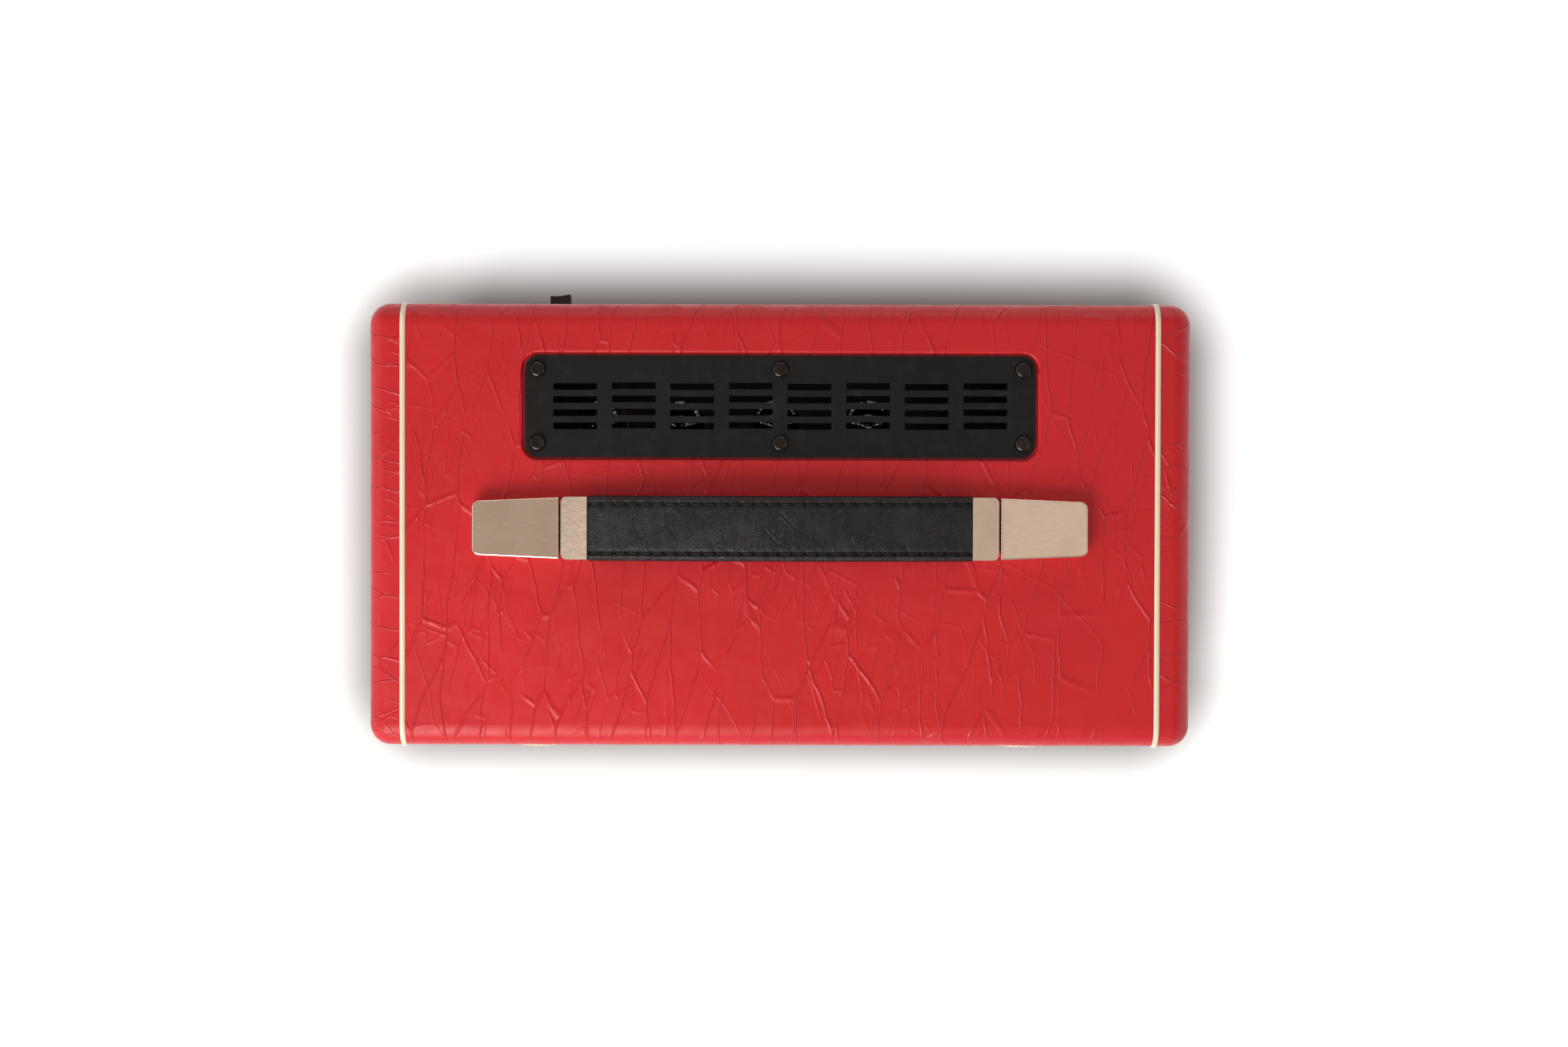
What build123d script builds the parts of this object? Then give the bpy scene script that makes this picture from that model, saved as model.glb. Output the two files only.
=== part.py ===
"""Portable valve radio in a leathercloth cabinet: carrying strap, top vent, tuned dial and open chassis.

Millimetres. X to the right, Y to the back, Z up. The origin is on the surface that the feet stand on,
under the middle of the cabinet.
"""
import math
import os

from build123d import *

os.makedirs("parts", exist_ok=True)

# Cabinet
BODY_W = 360.0  # over the leathercloth
BODY_D = 194.0
BODY_H = 222.0
FOOT_H = 12.0
EDGE_R = 9.5  # every outside edge
SKIN = 1.0  # leathercloth thickness
CHEEK_T = 15.2  # an end cheek, from the piping to the outside
FRAME_T = 12.0  # front and back frames, and the top and bottom boards with their cloth
FIT = 0.05  # clearance round a screw's shank

LOW_Z = FOOT_H
TOP_Z = LOW_Z + BODY_H
FRONT_Y = -BODY_D / 2
BACK_Y = BODY_D / 2
JOINT_X = BODY_W / 2 - CHEEK_T  # where a cheek meets the middle of the cabinet
MID_Z = LOW_Z + BODY_H / 2
ROOM_LOW_Z = LOW_Z + FRAME_T
ROOM_TOP_Z = TOP_Z - FRAME_T
ROOM_FRONT_Y = FRONT_Y + FRAME_T
ROOM_BACK_Y = BACK_Y - FRAME_T

# Piping between the cheeks and the middle
PIPING_W = 2.5
PIPING_PROUD = 0.8
GROOVE_W = 2.6
GROOVE_DEEP = 1.6

# Front and back recesses in the cabinet
FRONT_HALF_W = 153.0
FRONT_LOW_Z = 27.0
FRONT_TOP_Z = 219.0
BACK_HALF_W = 152.0
BACK_LOW_Z = 32.0
BACK_TOP_Z = 214.0
BACK_RECESS = 4.0
BACK_LEDGE = 8.0

# Top vent
VENT_Y = 51.9
VENT_W = 223.0
VENT_D = 44.5
VENT_R = 6.0
VENT_T = 1.4
VENT_RECESS = 2.4
VENT_GAP = 1.0
VENT_OPENING_W = 204.0
VENT_OPENING_D = 22.4
SLOT_W = 19.1
SLOT_D = 2.9
SLOT_PITCH_X = 25.57
SLOT_PITCH_Y = 5.73
SLOT_COLUMNS = 8
SLOT_ROWS = 4
SLOT_STAGGER = 0.4
VENT_SCREW_X = 106.0
VENT_SCREW_Y = 16.1

# Carrying handle
HANDLE_Y = -1.2
PIVOT_X = 95.0  # where the strap leaves an end cap
PIVOT_Z = TOP_Z + 3.8
ARCH_RISE = 9.0
STRAP_W = 28.4
STRAP_T = 7.0
CORE_W = 18.0
CORE_T = 1.2
FERRULE_W = 27.2
FERRULE_T = 7.6
FERRULE_IN_X = 82.9
FERRULE_OUT_X = 94.3
CAP_IN_X = 95.8
CAP_OUT_X = 133.6
CAP_IN_W = 26.8
CAP_OUT_W = 23.6
CAP_H = 9.2
CAP_DROP = 2.0
CAP_WALL = 1.2
POST_X = 115.0
POST_R = 2.45
TONGUE_TRAVEL = 3.3
ANCHOR_T = 2.0
HANDLE_BOLT_X = (104.0, 126.0)
ARCH_R = (PIVOT_X**2 + ARCH_RISE**2) / (2 * ARCH_RISE)
ARCH_CENTRE_Z = PIVOT_Z + ARCH_RISE - ARCH_R

# Front: speaker grille below, control panel above
BAFFLE_HALF_W = 151.0
BAFFLE_LOW_Z = 29.0
BAFFLE_TOP_Z = 144.0
BAFFLE_FRONT_Y = -90.0
BAFFLE_BACK_Y = -81.0
CLOTH_T = 0.8
BATTEN_X = 141.0
BATTEN_BACK_Y = -71.0
PANEL_LOW_Z = 145.2
PANEL_TOP_Z = 218.4
PANEL_HALF_W = 152.4
PANEL_Y = -88.0  # its face
PANEL_T = 2.0
PANEL_BACK_Y = PANEL_Y + PANEL_T
CONTROLS = {  # name: (x, z, radius of the knob)
    "volume": (-109.0, 184.0, 13.0),
    "band": (0.0, 160.5, 10.0),
    "tuning": (109.0, 184.0, 13.0),
}
KNOB_FRONT_Y = -101.0
KNOB_BACK_Y = -89.0
SHAFT_R = 3.175
BUSH_R = 4.5
DIAL_Z = 193.0
DIAL_W = 136.0
DIAL_H = 32.0

# Dial drive, in one plane behind the dial
CORD_Y = -63.0
CORD_T = 0.8
DRUM_X = 85.0
DRUM_Z = 150.0
DRUM_R = 36.3
SPINDLE_R = 3.0
PULLEY_X = 72.0
PULLEY_Z = 209.0
PULLEY_R = 5.0
PIVOT_R = 1.5
CORD_GAP = 0.05
POT_BACK_Y = -74.0
SWITCH_BACK_Y = -68.0

# Loudspeaker
SPEAKER_Z = 83.5
SPEAKER_RX = 70.0
SPEAKER_RZ = 47.0
CONE_RX = 54.5
CONE_RZ = 34.0
MAGNET_R = 27.0
BASKET_Y = -51.0  # the back of the basket, on the magnet

# Chassis and valves
DECK_Z = 126.0
SHEET = 1.2
CHASSIS_FRONT_Y = -20.0
CHASSIS_BACK_Y = 84.0
CHASSIS_DEEP = 30.0
VALVE_R = 10.8
VALVES = [  # x, y and height of the glass: mixer, amplifier, detector, output and rectifier
    (-122.0, 46.0, 48.0),
    (-84.0, 46.0, 48.0),
    (-46.0, 46.0, 50.0),
    (-2.0, 46.0, 64.0),
    (40.0, 46.0, 62.0),
]
TRANSFORMERS = [  # x, y, width, stack and height: mains and output
    (112.0, 52.0, 66.0, 30.0, 56.0),
    (22.0, 4.0, 42.0, 18.0, 36.0),
]
ROD_Y = -12.0
ROD_Z = 210.0
GANG_SHAFT_Z = DRUM_Z

# Back panel
BACK_PANEL_T = 2.5
BACK_PANEL_Y = BACK_Y - BACK_RECESS  # its inner face
BACK_FACE_Y = BACK_PANEL_Y + BACK_PANEL_T
INLET_X = 112.0
INLET_Z = 62.0
AERIAL_XS = (-118.0, -99.0)
SOCKET_Z = 62.0
AERIAL_BORE_R = 2.05
AERIAL_BORE_L = 14.0
AERIAL_BODY_R = 4.0
ROCKER_X = -98.6
ROCKER_Z = 198.0
ROCKER_Y = 96.5  # its pivot


def facing(y):
    """Plane across the radio at y, seen from the front: X to the right, Z up, its normal towards the front."""
    return Plane.XZ.offset(-y)


def slab(xs, ys, zs, mode=Mode.ADD):
    """Box between the two values of xs, ys and zs."""
    centre = ((xs[0] + xs[1]) / 2, (ys[0] + ys[1]) / 2, (zs[0] + zs[1]) / 2)
    with Locations(centre):
        Box(abs(xs[1] - xs[0]), abs(ys[1] - ys[0]), abs(zs[1] - zs[0]), mode=mode)


def rod(x, z, radius, ys, mode=Mode.ADD):
    """Round bar along Y."""
    with BuildSketch(facing(ys[0])) as end:
        with Locations((x, z)):
            Circle(radius)
    extrude(end.sketch, amount=ys[0] - ys[1], mode=mode)


def post(x, y, radius, zs, mode=Mode.ADD):
    """Round bar along Z."""
    with BuildSketch(Plane.XY.offset(zs[0])) as end:
        with Locations((x, y)):
            Circle(radius)
    extrude(end.sketch, amount=zs[1] - zs[0], mode=mode)


def plate(width, height, x, z, ys, radius=0.0, mode=Mode.ADD):
    """Flat plate seen from the front, with rounded corners where radius isn't 0."""
    with BuildSketch(facing(ys[0])) as outline:
        with Locations((x, z)):
            if radius:
                RectangleRounded(width, height, radius)
            else:
                Rectangle(width, height)
    extrude(outline.sketch, amount=ys[0] - ys[1], mode=mode)


def oval(rx, rz, z, ys, mode=Mode.ADD):
    """Elliptical plate seen from the front, on the radio's middle plane."""
    with BuildSketch(facing(ys[0])) as outline:
        with Locations((0, z)):
            Ellipse(rx, rz)
    extrude(outline.sketch, amount=ys[0] - ys[1], mode=mode)


def keep(builder, name):
    """Labels a finished piece and writes it."""
    builder.part.label = name
    export_step(builder.part, f"parts/{name}.step")


def pan_screw(head_r, shank_r, shank_l):
    """Cross-head pan screw: the head's underside is at the origin and the shank runs down -Z."""
    head_h = 0.6 * head_r
    with BuildPart() as screw:
        Cylinder(head_r, head_h, align=(Align.CENTER, Align.CENTER, Align.MIN))
        fillet(screw.faces().sort_by(Axis.Z)[-1].edges(), 0.75 * head_h)
        with BuildSketch(Plane.XY.offset(head_h)):
            Rectangle(1.15 * head_r, 0.28 * head_r)
            Rectangle(0.28 * head_r, 1.15 * head_r)
        extrude(amount=-0.65 * head_h, mode=Mode.SUBTRACT)
        Cylinder(shank_r, shank_l, align=(Align.CENTER, Align.CENTER, Align.MAX))
    return screw.part


# ---------------------------------------------------------------- cabinet
def side_outline(plane, inset):
    """The cabinet's outline seen from its end, moved inwards by inset."""
    with BuildSketch(plane) as outline:
        with Locations((0, MID_Z)):
            RectangleRounded(BODY_D - 2 * inset, BODY_H - 2 * inset, EDGE_R - inset)
    return outline.sketch


def groove_ring(side):
    """The channel for the piping, all round the joint between a cheek and the middle."""
    with BuildPart() as ring:
        start = Plane.YZ.offset(side * JOINT_X - GROOVE_W / 2)
        extrude(side_outline(start, -1), amount=GROOVE_W)
        extrude(side_outline(start, GROOVE_DEEP), amount=GROOVE_W, mode=Mode.SUBTRACT)
    return ring.part


def middle_block(inset):
    """The cabinet between the cheeks as a block with its recesses, its surface moved into the wood by inset."""
    with BuildPart() as block:
        extrude(side_outline(Plane.YZ.offset(-JOINT_X), inset), amount=2 * JOINT_X)
        plate(
            2 * (FRONT_HALF_W + inset),
            FRONT_TOP_Z - FRONT_LOW_Z + 2 * inset,
            0,
            (FRONT_TOP_Z + FRONT_LOW_Z) / 2,
            (ROOM_FRONT_Y, FRONT_Y - 1),
            radius=3 + inset,
            mode=Mode.SUBTRACT,
        )
        plate(
            2 * (BACK_HALF_W + inset),
            BACK_TOP_Z - BACK_LOW_Z + 2 * inset,
            0,
            (BACK_TOP_Z + BACK_LOW_Z) / 2,
            (BACK_Y + 1, BACK_PANEL_Y),
            radius=3 + inset,
            mode=Mode.SUBTRACT,
        )
        for y, radius in ((FRONT_Y + inset, 3.0 - inset), (BACK_Y - inset, 2.0 - inset)):
            rim = block.edges().filter_by_position(Axis.Y, y - 0.01, y + 0.01)
            rim = rim.filter_by_position(Axis.X, -160, 160)
            fillet(rim.filter_by_position(Axis.Z, 24, 222), radius)
        with BuildSketch(Plane.XY.offset(TOP_Z + 1)):
            with Locations((0, VENT_Y)):
                grown = 2 * (VENT_GAP + inset)
                RectangleRounded(VENT_W + grown, VENT_D + grown, VENT_R + VENT_GAP + inset)
        extrude(amount=-(1 + VENT_RECESS + inset), mode=Mode.SUBTRACT)
        if inset == 0:
            rim = block.edges().filter_by_position(Axis.Z, TOP_Z - 0.01, TOP_Z + 0.01)
            fillet(rim.filter_by_position(Axis.Y, VENT_Y - 30, VENT_Y + 30), 1.2)
        slab(
            (-VENT_OPENING_W / 2, VENT_OPENING_W / 2),
            (VENT_Y - VENT_OPENING_D / 2, VENT_Y + VENT_OPENING_D / 2),
            (ROOM_TOP_Z - 1, TOP_Z),
            mode=Mode.SUBTRACT,
        )
    return block.part


def cheek_block(side, inset):
    """An end cheek as a block, its surface moved into the wood by inset."""
    with BuildPart() as block:
        extrude(side_outline(Plane.YZ.offset(side * JOINT_X), inset), amount=side * (CHEEK_T - inset))
        fillet(block.faces().sort_by(Axis.X)[-1 if side > 0 else 0].edges(), EDGE_R - 0.5 - inset)
    return block.part


grooves = {side: groove_ring(side) for side in (-1, 1)}
VENT_SCREWS = [(x, VENT_Y + y) for x in (-VENT_SCREW_X, 0, VENT_SCREW_X) for y in (-VENT_SCREW_Y, VENT_SCREW_Y)]
FEET = [(x, y) for x in (-146, 146) for y in (-72, 72)]
HANDLE_BOLTS = [(side * x, HANDLE_Y) for side in (-1, 1) for x in HANDLE_BOLT_X]
FOOT_SCREW_R = 2.0
HANDLE_BOLT_R = 2.0
VENT_SCREW_R = 1.75
SCREW_R = 1.5
SCREW_L = 9.5
BACK_SCREWS = [(x, z) for x in (-147.8, -50, 50, 147.8) for z in (BACK_LOW_Z + 4.2, BACK_TOP_Z - 4.2)]
PANEL_SCREWS = [(x, z) for x in (-147, 147) for z in (PANEL_LOW_Z + 6, PANEL_TOP_Z - 6)]
SPEAKER_SCREWS = [(x, SPEAKER_Z + z) for x in (-55, 55) for z in (-30.5, 30.5)]
CHASSIS_SCREWS = [(side, y) for side in (-1, 1) for y in (-6, 70)]
CHASSIS_SCREW_Z = DECK_Z - 14

wood_block = middle_block(SKIN)

with BuildPart() as middle_cover:
    add(middle_block(0))
    add(wood_block, mode=Mode.SUBTRACT)
    for ring in grooves.values():
        add(ring, mode=Mode.SUBTRACT)
    for x, y in VENT_SCREWS:
        post(x, y, VENT_SCREW_R + FIT, (TOP_Z - 5, TOP_Z), mode=Mode.SUBTRACT)
    for x, y in HANDLE_BOLTS:
        post(x, y, HANDLE_BOLT_R + FIT, (TOP_Z - 3, TOP_Z + 1), mode=Mode.SUBTRACT)
    for x, y in FEET:
        post(x, y, FOOT_SCREW_R + FIT, (LOW_Z - 1, LOW_Z + 3), mode=Mode.SUBTRACT)
keep(middle_cover, "middle_cover")

with BuildPart() as carcass:
    add(wood_block)
    slab((-JOINT_X, JOINT_X), (ROOM_FRONT_Y, ROOM_BACK_Y), (ROOM_LOW_Z, ROOM_TOP_Z), mode=Mode.SUBTRACT)
    slab(
        (-BACK_HALF_W + BACK_LEDGE, BACK_HALF_W - BACK_LEDGE),
        (ROOM_BACK_Y - 1, BACK_PANEL_Y + 1),
        (BACK_LOW_Z + BACK_LEDGE, BACK_TOP_Z - BACK_LEDGE),
        mode=Mode.SUBTRACT,
    )
    for ring in grooves.values():
        add(ring, mode=Mode.SUBTRACT)
    for x, y in VENT_SCREWS:
        post(x, y, VENT_SCREW_R + FIT, (TOP_Z - 13, TOP_Z), mode=Mode.SUBTRACT)
    for x, y in HANDLE_BOLTS:
        post(x, y, HANDLE_BOLT_R + FIT, (ROOM_TOP_Z - 1, TOP_Z + 1), mode=Mode.SUBTRACT)
    for x, y in FEET:
        post(x, y, FOOT_SCREW_R + FIT, (LOW_Z - 1, ROOM_LOW_Z + 1), mode=Mode.SUBTRACT)
    for x, z in BACK_SCREWS:
        rod(x, z, SCREW_R + FIT, (BACK_Y, ROOM_BACK_Y - 1), mode=Mode.SUBTRACT)

WHOLE_X = (-BODY_W, BODY_W)
WHOLE_Y = (-BODY_D, BODY_D)
with BuildPart() as top_board:
    add(carcass.part)
    slab(WHOLE_X, WHOLE_Y, (ROOM_TOP_Z, TOP_Z), mode=Mode.INTERSECT)
    for x in (-76, 76):  # brackets for the ferrite aerial
        slab((x - 4, x + 4), (ROD_Y - 7, ROD_Y + 7), (ROD_Z - 7, ROOM_TOP_Z))
        with BuildSketch(Plane.YZ.offset(x - 4)):
            with Locations((ROD_Y, ROD_Z)):
                Circle(4.95)
        extrude(amount=8, mode=Mode.SUBTRACT)
keep(top_board, "top_board")

with BuildPart() as bottom_board:
    add(carcass.part)
    slab(WHOLE_X, WHOLE_Y, (LOW_Z, ROOM_LOW_Z), mode=Mode.INTERSECT)
keep(bottom_board, "bottom_board")

with BuildPart() as front_frame:
    add(carcass.part)
    slab(WHOLE_X, (FRONT_Y, 0), (ROOM_LOW_Z, ROOM_TOP_Z), mode=Mode.INTERSECT)
    for side in (-1, 1):  # battens behind the baffle and the control panel
        batten = (side * BATTEN_X, side * (JOINT_X - 2))
        slab(batten, (BAFFLE_BACK_Y, BATTEN_BACK_Y), (BAFFLE_LOW_Z, PANEL_TOP_Z))
        in_opening = (side * BATTEN_X, side * (FRONT_HALF_W - 1.4))  # clear of the pocket's round corners
        slab(in_opening, (PANEL_BACK_Y, BAFFLE_BACK_Y), (PANEL_LOW_Z, PANEL_TOP_Z))
        slab((side * 154, side * (JOINT_X - 2)), (ROOM_FRONT_Y, BAFFLE_BACK_Y), (BAFFLE_LOW_Z, PANEL_TOP_Z))
    for x, z in PANEL_SCREWS:
        rod(x, z, SCREW_R + FIT, (BATTEN_BACK_Y, PANEL_BACK_Y), mode=Mode.SUBTRACT)
keep(front_frame, "front_frame")

with BuildPart() as back_frame:
    add(carcass.part)
    slab(WHOLE_X, (0, BACK_Y), (ROOM_LOW_Z, ROOM_TOP_Z), mode=Mode.INTERSECT)
keep(back_frame, "back_frame")

cheek_wood = {side: cheek_block(side, SKIN) for side in (-1, 1)}
with BuildPart() as cheek_boards:
    for side in (-1, 1):
        add(cheek_wood[side])
        add(grooves[side], mode=Mode.SUBTRACT)
    for side, y in CHASSIS_SCREWS:
        with BuildSketch(Plane.YZ.offset(side * (JOINT_X - 1))):
            with Locations((y, CHASSIS_SCREW_Z)):
                Circle(SCREW_R + FIT)
        extrude(amount=side * (SCREW_L + 1), mode=Mode.SUBTRACT)
keep(cheek_boards, "cheek_boards")

with BuildPart() as cheek_covers:
    for side in (-1, 1):
        add(cheek_block(side, 0))
        add(cheek_wood[side], mode=Mode.SUBTRACT)
        add(grooves[side], mode=Mode.SUBTRACT)
keep(cheek_covers, "cheek_covers")

with BuildPart() as piping:
    for side in (-1, 1):
        start = Plane.YZ.offset(side * JOINT_X - PIPING_W / 2)
        extrude(side_outline(start, -PIPING_PROUD), amount=PIPING_W)
        extrude(side_outline(start, GROOVE_DEEP - 0.05), amount=PIPING_W, mode=Mode.SUBTRACT)
    rims = [face.outer_wire().edges() for face in piping.faces().filter_by(Axis.X)]
    fillet([edge for rim in rims for edge in rim], PIPING_W / 2 - 0.1)
keep(piping, "piping")

FOOT_SINK = 5.0
with BuildPart() as feet:
    for x, y in FEET:
        with BuildSketch(Plane.XY.offset(LOW_Z)):
            with Locations((x, y)):
                Circle(14)
        extrude(amount=-FOOT_H, taper=6)
    fillet(feet.edges().filter_by_position(Axis.Z, -0.01, 0.01), 1.0)
    for x, y in FEET:
        post(x, y, 6.0, (0, FOOT_SINK), mode=Mode.SUBTRACT)
        post(x, y, FOOT_SCREW_R + FIT, (0, LOW_Z), mode=Mode.SUBTRACT)
keep(feet, "feet")

foot_screw = pan_screw(4.0, FOOT_SCREW_R, LOW_Z - FOOT_SINK + 10)
with BuildPart() as foot_screws:
    with Locations(*[Plane(origin=(x, y, FOOT_SINK), z_dir=(0, 0, -1)) for x, y in FEET]):
        add(foot_screw)
keep(foot_screws, "foot_screws")

# ---------------------------------------------------------------- top vent
VENT_LOW_Z = TOP_Z - VENT_RECESS
with BuildPart() as vent_plate:
    with BuildSketch(Plane.XY.offset(VENT_LOW_Z)):
        with Locations((0, VENT_Y)):
            RectangleRounded(VENT_W, VENT_D, VENT_R)
        for column in range(SLOT_COLUMNS):
            x = (column - (SLOT_COLUMNS - 1) / 2) * SLOT_PITCH_X
            back = SLOT_STAGGER if column % 2 else 0.0
            for row in range(SLOT_ROWS):
                y = VENT_Y + back + (row - (SLOT_ROWS - 1) / 2) * SLOT_PITCH_Y
                with Locations((x, y)):
                    Rectangle(SLOT_W, SLOT_D, mode=Mode.SUBTRACT)
        with Locations(*VENT_SCREWS):
            Circle(VENT_SCREW_R + 0.2, mode=Mode.SUBTRACT)
    extrude(amount=VENT_T)
keep(vent_plate, "vent_plate")

vent_screw = pan_screw(3.55, VENT_SCREW_R, 9.0)
with BuildPart() as vent_screws:
    with Locations(*[(x, y, VENT_LOW_Z + VENT_T) for x, y in VENT_SCREWS]):
        add(vent_screw)
keep(vent_screws, "vent_screws")


# ---------------------------------------------------------------- carrying handle
def arch_point(x, lift):
    """Point over station x of the strap's middle line, lift above it."""
    angle = math.asin(x / ARCH_R)
    return ((ARCH_R + lift) * math.sin(angle), ARCH_CENTRE_Z + (ARCH_R + lift) * math.cos(angle))


def arched_strip(xs, thickness, width, mode=Mode.ADD):
    """Strip along the strap's arch between two stations."""
    half = thickness / 2
    middle = (xs[0] + xs[1]) / 2
    with BuildSketch(facing(HANDLE_Y + width / 2)) as profile:
        with BuildLine():
            over = ThreePointArc(*[arch_point(x, half) for x in (xs[0], middle, xs[1])])
            under = ThreePointArc(*[arch_point(x, -half) for x in (xs[0], middle, xs[1])])
            Line(over @ 0, under @ 0)
            Line(over @ 1, under @ 1)
        make_face()
    extrude(profile.sketch, amount=width, mode=mode)


def cap_block(side, inset):
    """A handle end cap as a block, lower at its outer end, its surface moved inwards by inset."""
    inner, outer = side * (CAP_IN_X + inset), side * (CAP_OUT_X - inset)
    inner_w, outer_w = CAP_IN_W / 2 - inset, CAP_OUT_W / 2 - inset
    height = CAP_H - inset
    with BuildPart() as block:
        with BuildSketch(Plane.XY.offset(TOP_Z)):
            with Locations((0, HANDLE_Y)):
                Polygon((inner, -inner_w), (outer, -outer_w), (outer, outer_w), (inner, inner_w), align=None)
        extrude(amount=height)
        with BuildSketch(facing(HANDLE_Y + CAP_IN_W)):
            with BuildLine():
                Polyline(
                    (inner, TOP_Z + height),
                    (outer, TOP_Z + height - CAP_DROP),
                    (outer, TOP_Z + height + 1),
                    (inner, TOP_Z + height + 1),
                    close=True,
                )
            make_face()
        extrude(amount=2 * CAP_IN_W, mode=Mode.SUBTRACT)
        corners = block.edges().filter_by(Axis.Z).sort_by(Axis.X, reverse=side > 0)[:2]
        fillet(corners, 3.2 - inset)
        if inset == 0:
            fillet(block.faces().sort_by(Axis.Z)[-1].edges(), 0.7)
    return block.part


for side, word in ((-1, "left"), (1, "right")):
    core_xs = (side * (PIVOT_X - 0.1), 0.0)
    with BuildPart() as strap:
        arched_strip((side * FERRULE_IN_X, 0.0), STRAP_T, STRAP_W)
        along = strap.edges().filter_by(GeomType.CIRCLE)
        fillet(along, 2.4)
        arched_strip(core_xs, CORE_T, CORE_W, mode=Mode.SUBTRACT)
    keep(strap, f"{word}_strap")

    with BuildPart() as ferrule:
        arched_strip((side * FERRULE_OUT_X, side * FERRULE_IN_X), FERRULE_T, FERRULE_W)
        ends = ferrule.edges().filter_by_position(Axis.X, *sorted((side * (FERRULE_OUT_X - 2), side * 100)))
        fillet([edge for edge in ends if abs(edge.length - FERRULE_T) < 0.1], 2.5)
        arched_strip(core_xs, CORE_T, CORE_W, mode=Mode.SUBTRACT)
        arched_strip(core_xs, CORE_T, CORE_W, mode=Mode.ADD)
    keep(ferrule, f"{word}_ferrule_and_core")

    with BuildPart() as tongue:
        slab(
            (side * (PIVOT_X + 0.2), side * 131.0),
            (HANDLE_Y - CORE_W / 2, HANDLE_Y + CORE_W / 2),
            (PIVOT_Z - CORE_T / 2, PIVOT_Z + CORE_T / 2),
        )
        slot_r = POST_R + 0.15
        for x in (POST_X, POST_X + TONGUE_TRAVEL):
            post(side * x, HANDLE_Y, slot_r, (TOP_Z, TOP_Z + 8), mode=Mode.SUBTRACT)
        slab(
            (side * POST_X, side * (POST_X + TONGUE_TRAVEL)),
            (HANDLE_Y - slot_r, HANDLE_Y + slot_r),
            (TOP_Z, TOP_Z + 8),
            mode=Mode.SUBTRACT,
        )
    keep(tongue, f"{word}_tongue")

with BuildPart() as handle_anchors:
    for side in (-1, 1):
        slab((side * 99.0, side * 131.0), (HANDLE_Y - 10, HANDLE_Y + 10), (TOP_Z, TOP_Z + ANCHOR_T))
        post(side * POST_X, HANDLE_Y, POST_R, (TOP_Z + ANCHOR_T, TOP_Z + 5.2))
        post(side * POST_X, HANDLE_Y, 4.0, (TOP_Z + 5.2, TOP_Z + 6.4))
    with BuildSketch(Plane.XY.offset(TOP_Z + ANCHOR_T)):
        with Locations(*HANDLE_BOLTS):
            Circle(HANDLE_BOLT_R + ANCHOR_T + FIT)
    extrude(amount=-ANCHOR_T, taper=45, mode=Mode.SUBTRACT)
keep(handle_anchors, "handle_anchors")

with BuildPart() as handle_end_caps:
    for side in (-1, 1):
        add(cap_block(side, 0))
        add(cap_block(side, CAP_WALL), mode=Mode.SUBTRACT)
        slab(
            (side * (CAP_IN_X - 1), side * (CAP_IN_X + CAP_WALL + 0.5)),
            (HANDLE_Y - CORE_W / 2 - 0.6, HANDLE_Y + CORE_W / 2 + 0.6),
            (PIVOT_Z - 1.6, PIVOT_Z + 1.8),
            mode=Mode.SUBTRACT,
        )
keep(handle_end_caps, "handle_end_caps")

with BuildPart() as handle_bolts:
    with BuildSketch(Plane.XY.offset(TOP_Z + ANCHOR_T)):
        with Locations(*HANDLE_BOLTS):
            Circle(HANDLE_BOLT_R + ANCHOR_T)
    extrude(amount=-ANCHOR_T, taper=45)
    for x, y in HANDLE_BOLTS:
        post(x, y, HANDLE_BOLT_R, (TOP_Z, ROOM_TOP_Z - 6))
    with BuildSketch(Plane.XY.offset(ROOM_TOP_Z)):  # their nuts
        with Locations(*HANDLE_BOLTS):
            RegularPolygon(4.0, 6)
            Circle(HANDLE_BOLT_R + FIT, mode=Mode.SUBTRACT)
    extrude(amount=-3.2)
keep(handle_bolts, "handle_bolts")

# ---------------------------------------------------------------- grille
BAFFLE_Z = (BAFFLE_LOW_Z + BAFFLE_TOP_Z) / 2
BAFFLE_H = BAFFLE_TOP_Z - BAFFLE_LOW_Z
CLOTH_FRONT_Y = BAFFLE_FRONT_Y - CLOTH_T
with BuildPart() as baffle_board:
    plate(2 * BAFFLE_HALF_W, BAFFLE_H, 0, BAFFLE_Z, (BAFFLE_BACK_Y, BAFFLE_FRONT_Y))
    oval(62, 40, SPEAKER_Z, (BAFFLE_BACK_Y, BAFFLE_FRONT_Y), mode=Mode.SUBTRACT)
    for x, z in SPEAKER_SCREWS:
        rod(x, z, SCREW_R + FIT, (BAFFLE_BACK_Y, BAFFLE_FRONT_Y), mode=Mode.SUBTRACT)
keep(baffle_board, "baffle_board")

with BuildPart() as grille_cloth:
    plate(2 * (BAFFLE_HALF_W + CLOTH_T), BAFFLE_H + 2 * CLOTH_T, 0, BAFFLE_Z, (BAFFLE_BACK_Y, CLOTH_FRONT_Y))
    plate(2 * BAFFLE_HALF_W, BAFFLE_H, 0, BAFFLE_Z, (BAFFLE_BACK_Y, BAFFLE_FRONT_Y), mode=Mode.SUBTRACT)
keep(grille_cloth, "grille_cloth")

BEAD_W = 3.0
BEAD_DEEP = 2.6
with BuildPart() as grille_bead:
    for inset, radius, mode in ((0, 3.0, Mode.ADD), (BEAD_W, 1.5, Mode.SUBTRACT)):
        plate(
            2 * (BAFFLE_HALF_W + CLOTH_T - inset),
            BAFFLE_H + 2 * (CLOTH_T - inset),
            0,
            BAFFLE_Z,
            (CLOTH_FRONT_Y, CLOTH_FRONT_Y - BEAD_DEEP),
            radius=radius,
            mode=mode,
        )
    fillet(grille_bead.faces().sort_by(Axis.Y)[0].edges(), 1.2)
keep(grille_bead, "grille_bead")

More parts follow.
